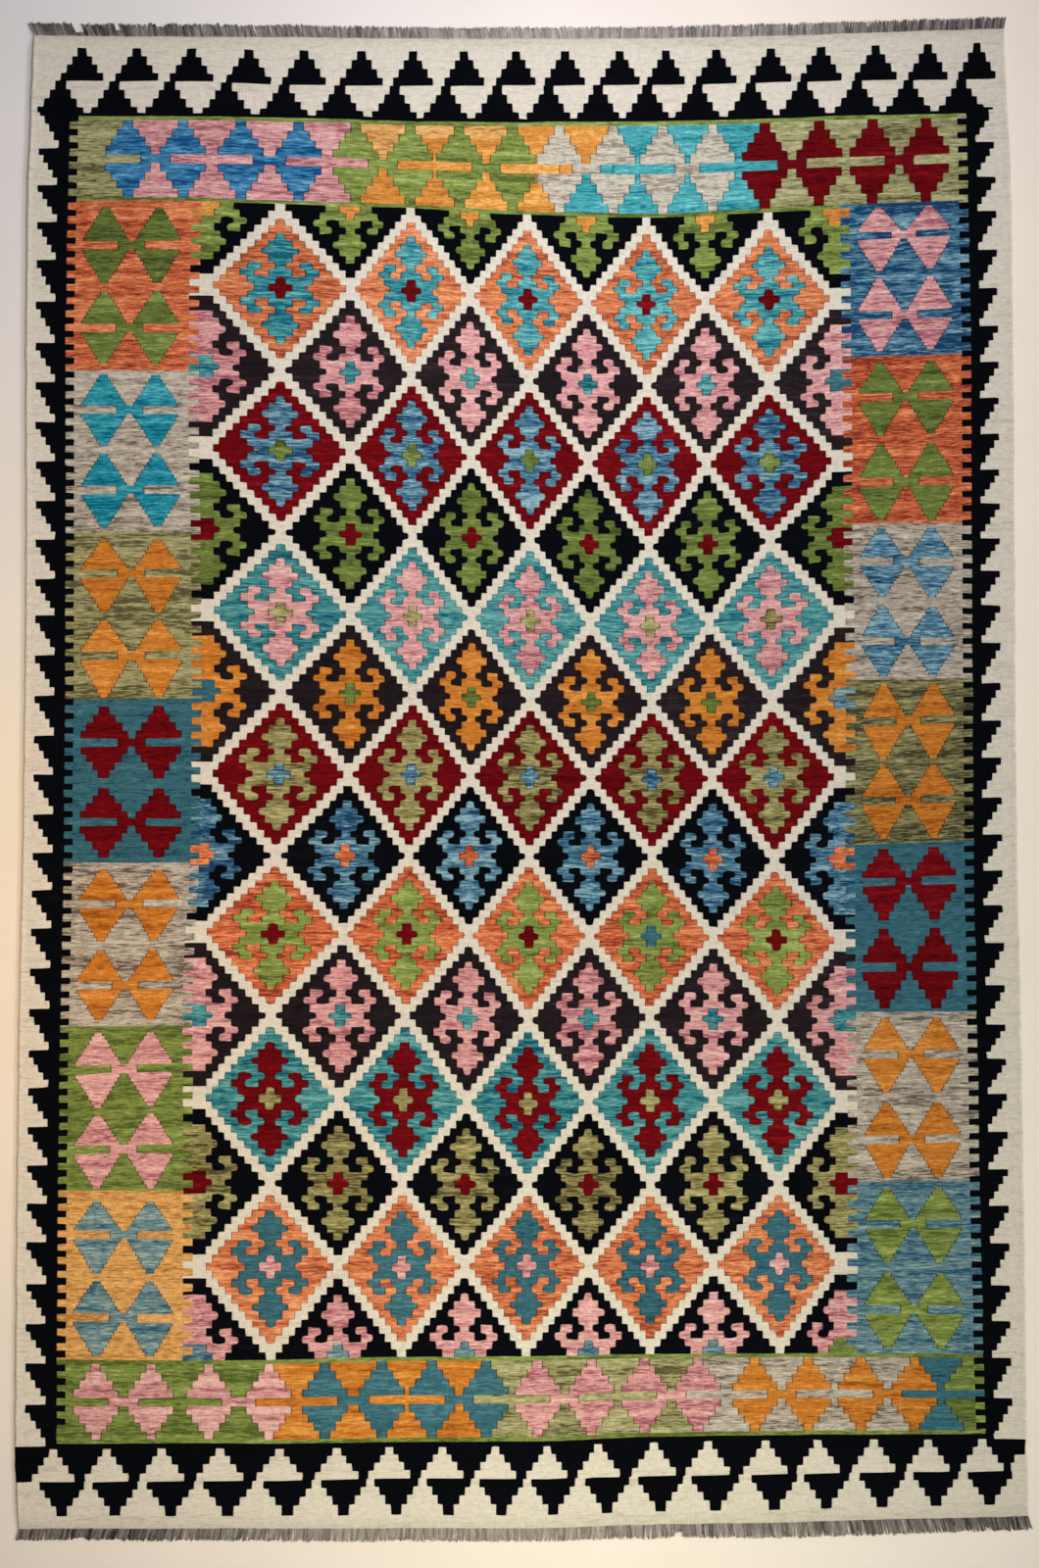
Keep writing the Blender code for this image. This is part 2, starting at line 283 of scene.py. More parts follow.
STRIP_HALVES = (5.0, 11.0, 17.0, 23.0)  # half widths in photo pixels, tip to waist
STRIP_SLOT = 13.0                       # how far the ground's bar passes a diamond's middle
LAST_HALF_X, LAST_HALF_T = 987.0, 2750  # the half diamond at the near strip's right end

# The field: two sets of diamonds, set half a step apart. Columns are counted from the first
# half diamond's middle and rows from the field's top.
FIELD_ORIGIN = 378.4
HALF_PERIOD = 126.1
COLUMN = 12.06
WIDE_COLUMN = 17.6
ROW = 15.0
ROWS = 155
COLUMN_PERIOD = 20            # columns and rows from one diamond of a set to the next
ROW_PERIOD = 22
LAST_COLUMN = 5 * COLUMN_PERIOD
REACH = 9                     # a diamond's steps from its middle to its tip
CHART = ("CCMM", "CMMMM", "MM..MM", "M..MM", "MM", "MMM", "MM", "M", "", "")
LIGHT_DIAMONDS = (
    # ground, motif, middle
    ("orange", "turquoise", "red"),
    ("red", "blue", "leaf"),
    ("lagoon", "pink", "khaki"),
    ("red", "khaki", "blue"),
    ("rust", "green", "red"),
    ("lagoon", "red", "khaki"),
    ("orange", "teal", "pink"),
)
DARK_DIAMONDS = (
    ("night", "green", "amber"),
    ("charcoal", "pink", "lagoon"),
    ("night", "leaf", "red"),
    ("charcoal", "gold", "leaf"),
    ("night", "blue", "rust"),
    ("charcoal", "pink", "lagoon"),
    ("night", "khaki", "red"),
    ("night", "pink", "sky"),
)
OTHER_LIGHT_MIDDLES = {(4, 70): "teal"}   # the weaver changed these: by row of diamonds and column
OTHER_DARK_MIDDLES = {(1, 100): "teal", (3, 0): "teal", (3, 100): "sky", (7, 100): "leaf"}
DIAMOND_SETS = (
    # colours, changed middles, first middle column and row
    (LIGHT_DIAMONDS, OTHER_LIGHT_MIDDLES, COLUMN_PERIOD // 2, ROW_PERIOD // 2),
    (DARK_DIAMONDS, OTHER_DARK_MIDDLES, 0, 0),
)


# ---- From the plan to the floor ----

def slopes_through(at, value):
    """Slopes for a smooth curve that doesn't overshoot its points."""
    steps = [(b - a) / (q - p) for a, b, p, q in zip(value, value[1:], at, at[1:])]
    slopes = [steps[0]]
    for before, after in zip(steps, steps[1:]):
        slopes.append(2 * before * after / (before + after) if before * after > 0 else 0.0)
    slopes.append(steps[-1])
    return slopes


def curve_through(at, value):
    """A smooth curve through the given points."""
    slopes = slopes_through(at, value)

    def curve(where):
        cell = min(max(bisect_right(at, where) - 1, 0), len(at) - 2)
        span = at[cell + 1] - at[cell]
        u = (where - at[cell]) / span
        return (
            (2 * u**3 - 3 * u**2 + 1) * value[cell]
            + (u**3 - 2 * u**2 + u) * span * slopes[cell]
            + (3 * u**2 - 2 * u**3) * value[cell + 1]
            + (u**3 - u**2) * span * slopes[cell + 1]
        )

    return curve


def guide_columns(table):
    """One curve down the rug for each column of a guide."""
    downs = [row[0] for row in table]
    return [curve_through(downs, column) for column in zip(*(row[1:] for row in table))]


X_COLUMNS = guide_columns(GUIDE_X)
Y_COLUMNS = guide_columns(GUIDE_Y)


@lru_cache(maxsize=None)
def line_at(t):
    """The photo x and the photo y along one line across the rug, as curves of s."""
    xs = [column(t) for column in X_COLUMNS]
    ys = [column(t) for column in Y_COLUMNS]
    return curve_through(GUIDE_S, xs), curve_through(BOW_S, ys)


HALVINGS = 17                 # enough for a tenth of a millimetre


def solve(curve, target, low, high):
    """Where a rising curve reaches its target, to a tenth of a millimetre."""
    for _ in range(HALVINGS):
        middle = (low + high) / 2
        if curve(middle) < target:
            low = middle
        else:
            high = middle
    return round(low, 1)


def across_at(photo_x, t):
    """The s of a photo x on one line."""
    return solve(line_at(round(t, 1))[0], photo_x, 0.0, WIDTH)


def down_at(photo_y, s):
    """The t of a photo y at one s."""
    return solve(lambda t: line_at(t)[1](s), photo_y, 0.0, LENGTH)


WANDER = (
    # size across and down in millimetres, seed, pixels across and down
    (46, 31, 3.1, 0.75, 0.55),
    (170, 130, 8.4, 0.5, 0.4),
    (15, 11, 6.2, 0.5, 0.35),
)


def photo_point(s, t):
    """The photo pixel of a place in the plan, with the small wander of hand-laid weft."""
    x_curve, y_curve = line_at(t)
    x, y = x_curve(s), y_curve(s)
    for wide, long, seed, most_x, most_y in WANDER:
        wander = noise.noise_vector((s / wide, t / long, seed))
        x += most_x * wander.x
        y += most_y * wander.y
    return x, y


def centring_shift():
    """What the part's source took off both coordinates to put its origin under its middle."""
    low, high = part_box("rug_cloth")
    corners = [photo_point(s, t) for s in (0.0, WIDTH) for t in range(0, int(LENGTH), 24)]
    ends = [photo_point(s, t) for t in (0.0, LENGTH) for s in range(0, int(WIDTH), 24)]
    xs = [(x - PHOTO_MIDDLE[0]) * PIXEL for x, _ in corners]
    ys = [(PHOTO_MIDDLE[1] - y) * PIXEL for _, y in ends]
    return (
        (min(xs) + max(xs)) / 2 - (low[0] + high[0]) / 2,
        (min(ys) + max(ys)) / 2 - (low[1] + high[1]) / 2,
    )


SHIFT = centring_shift()


def on_floor(photo_x, photo_y):
    """A photo pixel's place on the floor, in metres."""
    x = (photo_x - PHOTO_MIDDLE[0]) * PIXEL - SHIFT[0]
    y = (PHOTO_MIDDLE[1] - photo_y) * PIXEL - SHIFT[1]
    return x, y


# ---- The design, as layers of plain rectangles ----

def paint(layers, s0, s1, t0, t1, yarn):
    """Lays one rectangle of yarn over what is there."""
    if s1 > s0 and t1 > t0:
        layers.append((round(s0, 1), round(s1, 1), round(t0, 1), round(t1, 1), yarn))


def paint_pixels(layers, x0, x1, t0, t1, yarn):
    """The same between two photo x."""
    middle = (t0 + t1) / 2
    paint(layers, across_at(x0, middle), across_at(x1, middle), t0, t1, yarn)


def pitch_at(places, index):
    """The spacing of a row of motifs about one of them."""
    first, last = max(index - 1, 0), min(index + 1, len(places) - 1)
    return (places[last] - places[first]) / (last - first)


def paint_steps(layers, places, downs, halves, yarn):
    """A row of stepped motifs, each row of steps as wide as its share of the pitch."""
    for index, place in enumerate(places):
        pitch = pitch_at(places, index)
        for t0, t1, half in zip(downs, downs[1:], halves):
            paint_pixels(layers, place - half * pitch, place + half * pitch, t0, t1, yarn)


def top_band():
    layers = [(0.0, WIDTH, 0.0, BAND_TOP, "ivory")]
    paint_steps(layers, TREE_APEXES, TREE_ROWS, TREE_HALVES, "night")
    paint_steps(layers, TREE_FEET, FOOT_ROWS, FOOT_HALVES, "night")
    ground_line = FOOT_ROWS[-1]
    paint(layers, LEFT_STEPS[0], RIGHT_STEPS[1], ground_line, BAND_TOP, "night")
    paint(layers, LEFT_STEPS[0], 80.0, FOOT_ROWS[-2], ground_line, "night")
    paint(layers, RIGHT_STEPS[-1] - 20, RIGHT_STEPS[0], 150.0, ground_line, "night")
    return layers


def bottom_band():
    layers = [(0.0, WIDTH, BAND_BOTTOM, LENGTH, "ivory")]
    first = PEAK_ROWS[0]
    paint(layers, CORE_LEFT[0], across_at(1013.5, BAND_BOTTOM), BAND_BOTTOM, first, "night")
    paint(layers, 0.0, CORE_LEFT[0], BAND_BOTTOM + 5, first, "night")
    right_ends = (2003.0, 2003.0, across_at(1034.6, 2882), across_at(1031.0, 2898))
    for t0, t1, right in zip(PEAK_ROWS, PEAK_ROWS[1:], right_ends):
        paint(layers, 0.0, right, t0, t1, "night")
    paint_steps(layers, PEAKS, PEAK_ROWS, PEAK_HALVES, "ivory")
    paint_steps(layers, DROPS, DROP_ROWS, DROP_HALVES, "night")
    return layers


def teeth_rows(teeth, s):
    """The five rows of each saw tooth, as (step, t0, t1)."""
    downs = [down_at(y, s) for y in teeth]
    for top, following in zip(downs, downs[1:]):
        height = (following - top) / 5
        for step in range(5):
            yield step, top + step * height, top + (step + 1) * height


def paint_comb(layers, s0, s1, marks):
    """The black comb that the panels' colours are let into."""
    downs = [down_at(y, (s0 + s1) / 2) for y in marks]
    for start, stop in zip(downs, downs[1:]):
        for tooth in range(COMB_SPAN):
            top = start + (stop - start) * tooth / COMB_SPAN - COMB_TOOTH / 2
            bottom = min(top + COMB_TOOTH, BAND_BOTTOM)
            if bottom > top:
                paint(layers, s0, s1, top, bottom, "night")


def panel_downs(panels, s):
    """The t where each panel starts and ends."""
    ends = [down_at(y, s) for y, _, _, _ in panels]
    ends[-1] = FIELD_BOTTOM
    return list(zip([FIELD_TOP] + ends, ends))


LEFT_PANELS_S = 220.0         # near the middle of each side's panels
RIGHT_PANELS_S = 1780.0
LEFT_DOWNS = panel_downs(LEFT_PANELS, LEFT_PANELS_S)
RIGHT_DOWNS = panel_downs(RIGHT_PANELS, RIGHT_PANELS_S)


def paint_grounds(layers, s0, s1, panels, downs):
    """Each panel's ground between two s."""
    for (t0, t1), (_, ground, _, _) in zip(downs, panels):
        paint(layers, s0, s1, t0, t1, ground)


def paint_comb_grounds(layers, s0, s1, panels, downs):
    """What shows between a comb's teeth: the colours of the strips and the panels."""
    paint(layers, s0, s1, BAND_TOP, FIELD_TOP, "olive")
    paint_grounds(layers, s0, s1, panels, downs)
    paint(layers, s0, s1, FIELD_BOTTOM, BAND_BOTTOM, "green")


def left_border():
    layers = [(0.0, COMB_LEFT, BAND_TOP, BAND_BOTTOM, "ivory")]
    root = CORE_LEFT[1]
    paint_comb_grounds(layers, root, COMB_LEFT, LEFT_PANELS, LEFT_DOWNS)
    paint(layers, *CORE_LEFT, BAND_TOP, BAND_BOTTOM, "night")
    for step, t0, t1 in teeth_rows(LEFT_TEETH, LEFT_TEETH_S):
        paint(layers, LEFT_STEPS[step], root, t0, t1, "night")
    paint_comb(layers, root, COMB_LEFT, LEFT_COMB)
    return layers


def right_border():
    layers = [(COMB_RIGHT, WIDTH, BAND_TOP, BAND_BOTTOM, "ivory")]
    root = CORE_RIGHT[0]
    paint_comb_grounds(layers, COMB_RIGHT, root, RIGHT_PANELS, RIGHT_DOWNS)
    teal_top, teal_bottom = (down_at(y, COMB_TEAL_S) for y in COMB_TEAL)
    paint(layers, COMB_RIGHT, root, teal_top, teal_bottom, "teal")
    paint(layers, *CORE_RIGHT, BAND_TOP, BAND_BOTTOM, "night")
    for step, t0, t1 in teeth_rows(RIGHT_TEETH, RIGHT_TEETH_S):
        paint(layers, root, RIGHT_STEPS[step], t0, t1, "night")
    paint_comb(layers, COMB_RIGHT, root, RIGHT_COMB)
    return layers


def strip_lines(top, bottom):
    """The t of the lines that part a strip into its equal rows."""
    height = (bottom - top) / STRIP_ROWS
    return [top + row * height for row in range(STRIP_ROWS + 1)]


def paint_strip_diamonds(layers, groups, lines):
    """Stepped diamonds in pairs, slotted across the middle and bridged to their partner."""
    rows = list(zip(lines, lines[1:]))
    slot = rows.pop(SLOT_ROW)
    for yarn, places in groups:
        for x in places:
            for (t0, t1), half in zip(rows, STRIP_HALVES + STRIP_HALVES[::-1]):
                paint_pixels(layers, x - half, x + half, t0, t1, yarn)
    for yarn, places in groups:
        for left, right in zip(places[::2], places[1::2]):
            paint_pixels(layers, left + STRIP_SLOT, right - STRIP_SLOT, *slot, yarn)


def top_strip():
    layers = [(COMB_LEFT, COMB_RIGHT, BAND_TOP, FIELD_TOP, "olive")]
    lines = strip_lines(BAND_TOP + 8, FIELD_TOP - 7)
    top, bottom = lines[0], lines[-1]
    for x0, x1, first_row, last_row, yarn in TOP_GROUNDS:
        row = (bottom - top) / STRIP_ROWS
        paint_pixels(layers, x0, x1, top + first_row * row, top + last_row * row, yarn)
    for x, yarn in TOP_SLOTS:
        paint_pixels(layers, x, x + STRIP_SLOT, lines[SLOT_ROW], lines[SLOT_ROW + 1], yarn)
    paint(layers, COMB_LEFT, COMB_RIGHT, BAND_TOP, top, "green")
    paint_strip_diamonds(layers, TOP_STRIP, lines)
    paint(layers, COMB_LEFT, FIELD_RIGHT, bottom, FIELD_TOP, "green")
    paint(layers, FIELD_RIGHT, COMB_RIGHT, bottom, FIELD_TOP, "blue")
    return layers


def bottom_strip():
    layers = [(COMB_LEFT, COMB_RIGHT, FIELD_BOTTOM, BAND_BOTTOM, "green")]
    lines = strip_lines(FIELD_BOTTOM + 8, BAND_BOTTOM - 8)
    top, bottom = lines[0], lines[-1]
    for (x, yarn), (following, _) in zip(BOTTOM_SLOTS, BOTTOM_SLOTS[1:]):
        paint_pixels(layers, x, following, top, bottom, yarn)
    last_x, last_yarn = BOTTOM_SLOTS[-1]
    paint(layers, across_at(last_x, LAST_HALF_T), COMB_RIGHT, top, bottom, last_yarn)
    rows = list(zip(lines, lines[1:]))
    rows.pop(SLOT_ROW)
    for (t0, t1), half in zip(rows, STRIP_HALVES + STRIP_HALVES[::-1]):
        paint(layers, across_at(LAST_HALF_X - half, LAST_HALF_T), COMB_RIGHT, t0, t1, "leaf")
    for x, yarn in BOTTOM_SLOTS:
        paint_pixels(layers, x - STRIP_SLOT, x, lines[SLOT_ROW], lines[SLOT_ROW + 1], yarn)
    paint_strip_diamonds(layers, BOTTOM_STRIP, lines)
    return layers


def panel_shares(fine):
    """The widths of a panel diamond's rows above its slot, and how many make one coarse row."""
    if fine:
        return (0.18, 0.30, 0.42, 0.53, 0.65, 0.77, 0.89, 1.0), 0.5
    return (0.225, 0.45, 0.745, 1.0), 1.0


def paint_panel_pair(layers, motifs, marks, motif, fine):
    """Two slotted diamonds side by side, bridged through their slots."""
    left, right, half = motifs
    top, slot, bottom = marks
    upper, lower = (slot - top) / 4.5, (bottom - slot) / 4.5     # row heights
    shares, step = panel_shares(fine)
    for row, share in enumerate(shares):
        start, stop = row * step, (row + 1) * step
        for centre in (left, right):
            s0, s1 = centre - share * half, centre + share * half
            paint(layers, s0, s1, top + start * upper, top + stop * upper, motif)
            paint(layers, s0, s1, bottom - stop * lower, bottom - start * lower, motif)
    bridge = 0.58 * half
    paint(layers, left + bridge, right - bridge, slot - 0.5 * upper, slot + 0.5 * lower, motif)


def side_panels(s0, s1, panels, downs, pairs, motifs):
    layers = [(s0, s1, FIELD_TOP, FIELD_BOTTOM, panels[0][1])]
    paint_grounds(layers, s0, s1, panels, downs)
    middle = (motifs[0] + motifs[1]) / 2
    for index, pair in enumerate(pairs):
        _, _, motif, fine = panels[index // 2]
        marks = [max(down_at(y, middle), FIELD_TOP) for y in pair]
        paint_panel_pair(layers, motifs, marks, motif, fine)
    return layers


def field_yarn(column, row):
    """The yarn of one cell of the field. The outermost columns repeat their neighbours."""
    column = min(max(column, 0), LAST_COLUMN)
    for diamonds, others, first_column, first_row in DIAMOND_SETS:
        middle_column = COLUMN_PERIOD * round((column - first_column) / COLUMN_PERIOD) + first_column
        index = min(max(round((row - first_row) / ROW_PERIOD), 0), len(diamonds) - 1)
        column_away = abs(column - middle_column)
        row_away = abs(row - first_row - ROW_PERIOD * index)
        if column_away + row_away <= REACH:
            ground, motif, middle = diamonds[index]
            middle = others.get((index, middle_column), middle)
            symbols = CHART[row_away].ljust(REACH + 1, ".")
            return {"M": motif, "C": middle, ".": ground}[symbols[column_away]]
    return "ivory"


def column_edges(column):
    """The two s of one column of the field. The columns through a middle are wider."""
    halves, place = divmod(column, COLUMN_PERIOD // 2)
    middle = FIELD_ORIGIN + halves * HALF_PERIOD
    if place == 0:
        return middle - WIDE_COLUMN / 2, middle + WIDE_COLUMN / 2
    start = middle + WIDE_COLUMN / 2 + (place - 1) * COLUMN
    return start, start + COLUMN


def field():
    layers = [(FIELD_LEFT, FIELD_RIGHT, FIELD_TOP, FIELD_BOTTOM, "ivory")]
    for row in range(ROWS):
        t0 = FIELD_TOP + row * ROW
        for column in range(-2, LAST_COLUMN + 2):
            yarn = field_yarn(column, row)
            if yarn != "ivory":
                s0, s1 = column_edges(column)
                paint(layers, max(s0, FIELD_LEFT), min(s1, FIELD_RIGHT), t0, t0 + ROW, yarn)
    return layers


def dovetail(s0, s1, column, panels, downs, teeth):
    """The field's edge colours, let into the panels beside it."""
    layers = [(s0, s1, FIELD_TOP, FIELD_BOTTOM, panels[0][1])]
    paint_grounds(layers, s0, s1, panels, downs)
    pitch, first = teeth
    tooth = FIELD_TOP + first
    while tooth < FIELD_BOTTOM:
        end = min(tooth + pitch / 2, FIELD_BOTTOM)
        for row in range(int((tooth - FIELD_TOP) / ROW), ROWS):
            top = FIELD_TOP + row * ROW
            if top >= end:
                break
            paint(layers, s0, s1, max(top, tooth), min(top + ROW, end), field_yarn(column, row))
        tooth += pitch
    return layers


# ---- The layers cut into cells, and the cells woven into one mesh ----

LONGEST_CELL = 48.0           # cells are cut so short, and shorter along the side edges
SEAMS = (
    3.0, 7.0, 13.0, *(LONGEST_CELL * cut for cut in range(1, 42)), WIDTH - 13.0, WIDTH - 7.0, WIDTH - 3.0,
)
SEAM_ROOM = 2.0               # no seam falls nearer than this to a cell's end
# Where the yarns interlock, so that no slit opens.
JOINS = (COMB_LEFT, PANELS_LEFT_END, FIELD_LEFT, FIELD_RIGHT, PANELS_RIGHT_START, COMB_RIGHT)


def top_yarn(present, where):
    """The yarn that lies on top at one s."""
    for s0, s1, _, _, yarn in reversed(present):
        if s0 < where < s1:
            return yarn


def runs_of_row(present, left, right):
    """One row as runs of a single yarn, from left to right."""
    cuts = {min(max(s, left), right) for layer in present for s in layer[:2]}
    cuts = sorted(cuts | {left, right})
    runs = []
    for s0, s1 in zip(cuts, cuts[1:]):
        yarn = top_yarn(present, (s0 + s1) / 2)
        if runs and runs[-1][2] == yarn:
            runs[-1][1] = s1
        else:
            runs.append([s0, s1, yarn])
    return runs


def cells_of(layers):
    """Cuts a zone into cells of one yarn, none of them too long to follow the rug's bow."""
    left, right, top, bottom, _ = layers[0]
    downs = sorted({min(max(t, top), bottom) for layer in layers for t in layer[2:4]})
    cells = []
    for t0, t1 in zip(downs, downs[1:]):
        middle = (t0 + t1) / 2
        present = [layer for layer in layers if layer[2] < middle < layer[3]]
        for s0, s1, yarn in runs_of_row(present, left, right):
            cuts = [s0] + [s for s in SEAMS if s0 + SEAM_ROOM < s < s1 - SEAM_ROOM] + [s1]
            cells += [(a, b, t0, t1, yarn) for a, b in zip(cuts, cuts[1:])]
    return cells


def all_cells():
    zones = (
        top_band(), left_border(), right_border(), top_strip(), bottom_strip(), bottom_band(),
        side_panels(COMB_LEFT, PANELS_LEFT_END, LEFT_PANELS, LEFT_DOWNS, LEFT_PAIRS, LEFT_MOTIFS),
        side_panels(PANELS_RIGHT_START, COMB_RIGHT, RIGHT_PANELS, RIGHT_DOWNS, RIGHT_PAIRS, RIGHT_MOTIFS),
        dovetail(PANELS_LEFT_END, FIELD_LEFT, -1, LEFT_PANELS, LEFT_DOWNS, DOVETAILS[0]),
        dovetail(
            FIELD_RIGHT, PANELS_RIGHT_START, LAST_COLUMN + 1, RIGHT_PANELS, RIGHT_DOWNS, DOVETAILS[1]),
        field(),
    )
    return [cell for layers in zones for cell in cells_of(layers)]


def corners_on_lines(cells):
    """Every cell corner, listed along the lines across and along the lines down."""
    across, down = defaultdict(set), defaultdict(set)
    for s0, s1, t0, t1, _ in cells:
        for t in (t0, t1):
            across[t].update((s0, s1))
        for s in (s0, s1):
            down[s].update((t0, t1))
    for lines in (across, down):
        for key, places in lines.items():
            lines[key] = sorted(places)
    return across, down


def rising(places, low, high):
    """The places from low up to but not counting high."""
    return places[bisect_left(places, low):bisect_left(places, high)]


def falling(places, low, high):
    """The places from high down to but not counting low."""
    return reversed(places[bisect_right(places, low):bisect_right(places, high)])


def cell_outline(cell, across, down):
    """A cell's corners and its neighbours' corners on its sides, anticlockwise from above."""
    s0, s1, t0, t1, _ = cell
    outline = [(s, t1) for s in rising(across[t1], s0, s1)]
    outline += [(s1, t) for t in falling(down[s1], t0, t1)]
    outline += [(s, t0) for s in falling(across[t0], s0, s1)]
    outline += [(s0, t) for t in rising(down[s0], t0, t1)]
    return outline


STEP_PULL = 0.55              # how far the weft draws in the corner of a step
END_PULL = 1.7                # and the corners of a hook's or block's end
SHORT_SIDE = 4.5              # corners beside a shorter side than this stay where they are


def corner_pulls(cells, outlines):
    """The outer corners of the patches of yarn: whose each is, and the way it is drawn in."""
    shares, inward, crowded = defaultdict(lambda: defaultdict(int)), {}, set()
    for (s0, s1, t0, t1, yarn), outline in zip(cells, outlines):
        for place, following in zip(outline, outline[1:] + outline[:1]):
            s, t = place
            is_corner = s in (s0, s1) and t in (t0, t1)
            shares[place][yarn] += 1 if is_corner else 2
            inward[place, yarn] = (1 if s == s0 else -1, 1 if t == t0 else -1)
            if abs(following[0] - s) + abs(following[1] - t) < SHORT_SIDE:
                crowded.update((place, following))
    pulls = {}
    for place, yarns in shares.items():
        if sorted(yarns.values()) == [1, 3] and place not in crowded:
            yarn = min(yarns, key=yarns.get)
            pulls[place] = yarn, inward[place, yarn]
    return pulls


def round_ends(cells, outlines, pulls, across, down):
    """A point halfway along each side with two outer corners, so that it bulges."""
    ends = set()
    for cell, outline in zip(cells, outlines):
        for a, b in zip(outline, outline[1:] + outline[:1]):
            if a in pulls and b in pulls and pulls[a][0] == pulls[b][0] == cell[4]:
                ends.update((a, b))
                if a[1] == b[1]:
                    insort(across[a[1]], round((a[0] + b[0]) / 2, 2))
                else:
                    insort(down[a[0]], round((a[1] + b[1]) / 2, 2))
    return ends


def shifts_of(cells, outlines, across, down):
    """How far each drawn-in corner moves in the plan."""
    pulls = corner_pulls(cells, outlines)
    ends = round_ends(cells, outlines, pulls, across, down)
    shifts = {}
    for place, (_, (way_s, way_t)) in pulls.items():
        in_field = FIELD_LEFT < place[0] < FIELD_RIGHT and FIELD_TOP < place[1] < FIELD_BOTTOM
        pull = END_PULL if in_field and place in ends else STEP_PULL
        shifts[place] = pull * way_s, pull * way_t
    return shifts


def drawn_in(place, shifts):
    """A corner's place in the plan once the weft has drawn it in."""
    shift_s, shift_t = shifts.get(place, (0.0, 0.0))
    return place[0] + shift_s, place[1] + shift_t


# Heights in millimetres, against the distance from a side edge, from an end, and down the rug.
FLAT = 4000.0                 # beyond the rug's middle
SELVEDGE_PROFILE = curve_through((0.0, 3.0, 7.0, 13.0, 24.0, FLAT), (2.1, 3.3, 2.4, 2.8, 2.7, 2.7))
END_REACH = 8.0
END_PROFILE = curve_through((0.0, 4.0, END_REACH, FLAT), (1.3, 2.9, 2.7, 2.7))
LEFT_LIFT = curve_through((0.0, 700.0, 1600.0, LENGTH), (2.1, 1.7, 1.1, 0.8))
LIFT_REACH = 45.0
LIFT_EASE = 25.0              # the lift comes in over this at both ends
PUCKER = 0.38
MM = 0.001                    # a millimetre of the plan on the floor
EDGE_BULGE = 0.0008           # how far the middle of the cloth's rim stands out
RIM_TURN = 1.5                # how far in from the edge each half of the rim takes its pattern
NO_SLIT = 60.0                # a distance at which a slit no longer shows


def cloth_height(s, t):
    """The upper face in metres: a cord at each side edge, with slight puckers elsewhere."""
    side, end = min(s, WIDTH - s), min(t, LENGTH - t)
    level = SELVEDGE_PROFILE(side)
    if end < END_REACH:
        level = min(level, END_PROFILE(end))
    pucker = noise.noise((s / 90, t / 60, 1.7)) + 0.7 * noise.noise((s / 240, t / 210, 5.3))
    ease = min(side / 60, end / 40, 1.0)
    return (level + PUCKER * ease * pucker) * MM


def edge_lift(s, t):
    """How far the left edge stands off the floor, in metres: most near the far end."""
    near_edge = max(1 - s / LIFT_REACH, 0.0) ** 2
    near_end = min(t / LIFT_EASE, (LENGTH - t) / LIFT_EASE, 1.0)
    return LEFT_LIFT(t) * near_edge * near_end * MM


def outward(s, t):
    """Which way is out of the cloth at a place on its outline."""
    x = -1.0 if s == 0.0 else 1.0 if s == WIDTH else 0.0
    y = 1.0 if t == 0.0 else -1.0 if t == LENGTH else 0.0
    return x, y


def find_lots(faces, yarns):
    """Numbers the patches of touching cells of one yarn, and lists the sides with no neighbour."""
    parent = list(range(len(faces)))

    def root(index):
        while parent[index] != index:
            parent[index] = parent[parent[index]]
            index = parent[index]
        return index

    owner = {}
    for index, face in enumerate(faces):
        for a, b in zip(face, face[1:] + face[:1]):
            other = owner.pop((b, a), None)
            if other is None:
                owner[a, b] = index
            elif yarns[other] == yarns[index]:
                parent[root(index)] = root(other)
    return [root(index) for index in range(len(faces))], list(owner)


def slit_gaps(cell, outline, slits):
    """For each corner, how far it is from a slit on the left and on the right."""
    s0, s1, _, _, _ = cell
    left, right = slits
    return [(s - s0 if left else NO_SLIT, s1 - s if right else NO_SLIT, 0.0) for s, _ in outline]


def slits_beside(cells):
    """Whether each cell meets a slit on its left and on its right."""
    starts, ends = defaultdict(list), defaultdict(list)
    for s0, s1, t0, t1, yarn in cells:
        starts[s0].append((t0, t1, yarn))
        ends[s1].append((t0, t1, yarn))

    def is_slit(s, beside, t0, t1, yarn):
        return s not in JOINS and any(a < t1 and b > t0 and other != yarn for a, b, other in beside[s])

    return [
        (is_slit(s0, ends, t0, t1, yarn), is_slit(s1, starts, t0, t1, yarn))
        for s0, s1, t0, t1, yarn in cells
    ]


def cloth_points(places, rim, shifts):
    """The points of the upper face, the lower face and the rim, and the rim point beside each."""
    upper, lower = [], []
    for s, t in places:
        x, y = on_floor(*photo_point(*drawn_in((s, t), shifts)))
        lift = edge_lift(s, t)
        upper.append((x, y, lift + cloth_height(s, t)))
        lower.append((x, y, lift))
    points, beside = upper + lower, {}
    for a, _ in rim:
        x, y, z = upper[a]
        out_x, out_y = outward(*places[a])
        beside[a] = len(points)
        points.append((x + EDGE_BULGE * out_x, y + EDGE_BULGE * out_y, 0.45 * z + 0.55 * lower[a][2]))
    return points, beside


def both_faces(groups):
    """Values for the corners of the upper face, then of the lower one, which turns the other way."""
    upper = [value for group in groups for value in group]
    return upper + [value for group in groups for value in reversed(group)]


def rim_plan(a, b, near, far):
    """Where a piece of the outer rim takes its pattern from: just inside its edge."""
    def inside(place, inset):
        out = outward(*place)
        return place[0] - inset * out[0], place[1] + inset * out[1]
    return [inside(b, near), inside(a, near), inside(a, far), inside(b, far)]


def sides_of(face):
    """The two corners of each side of a face."""
    return zip(face, face[1:] + face[:1])


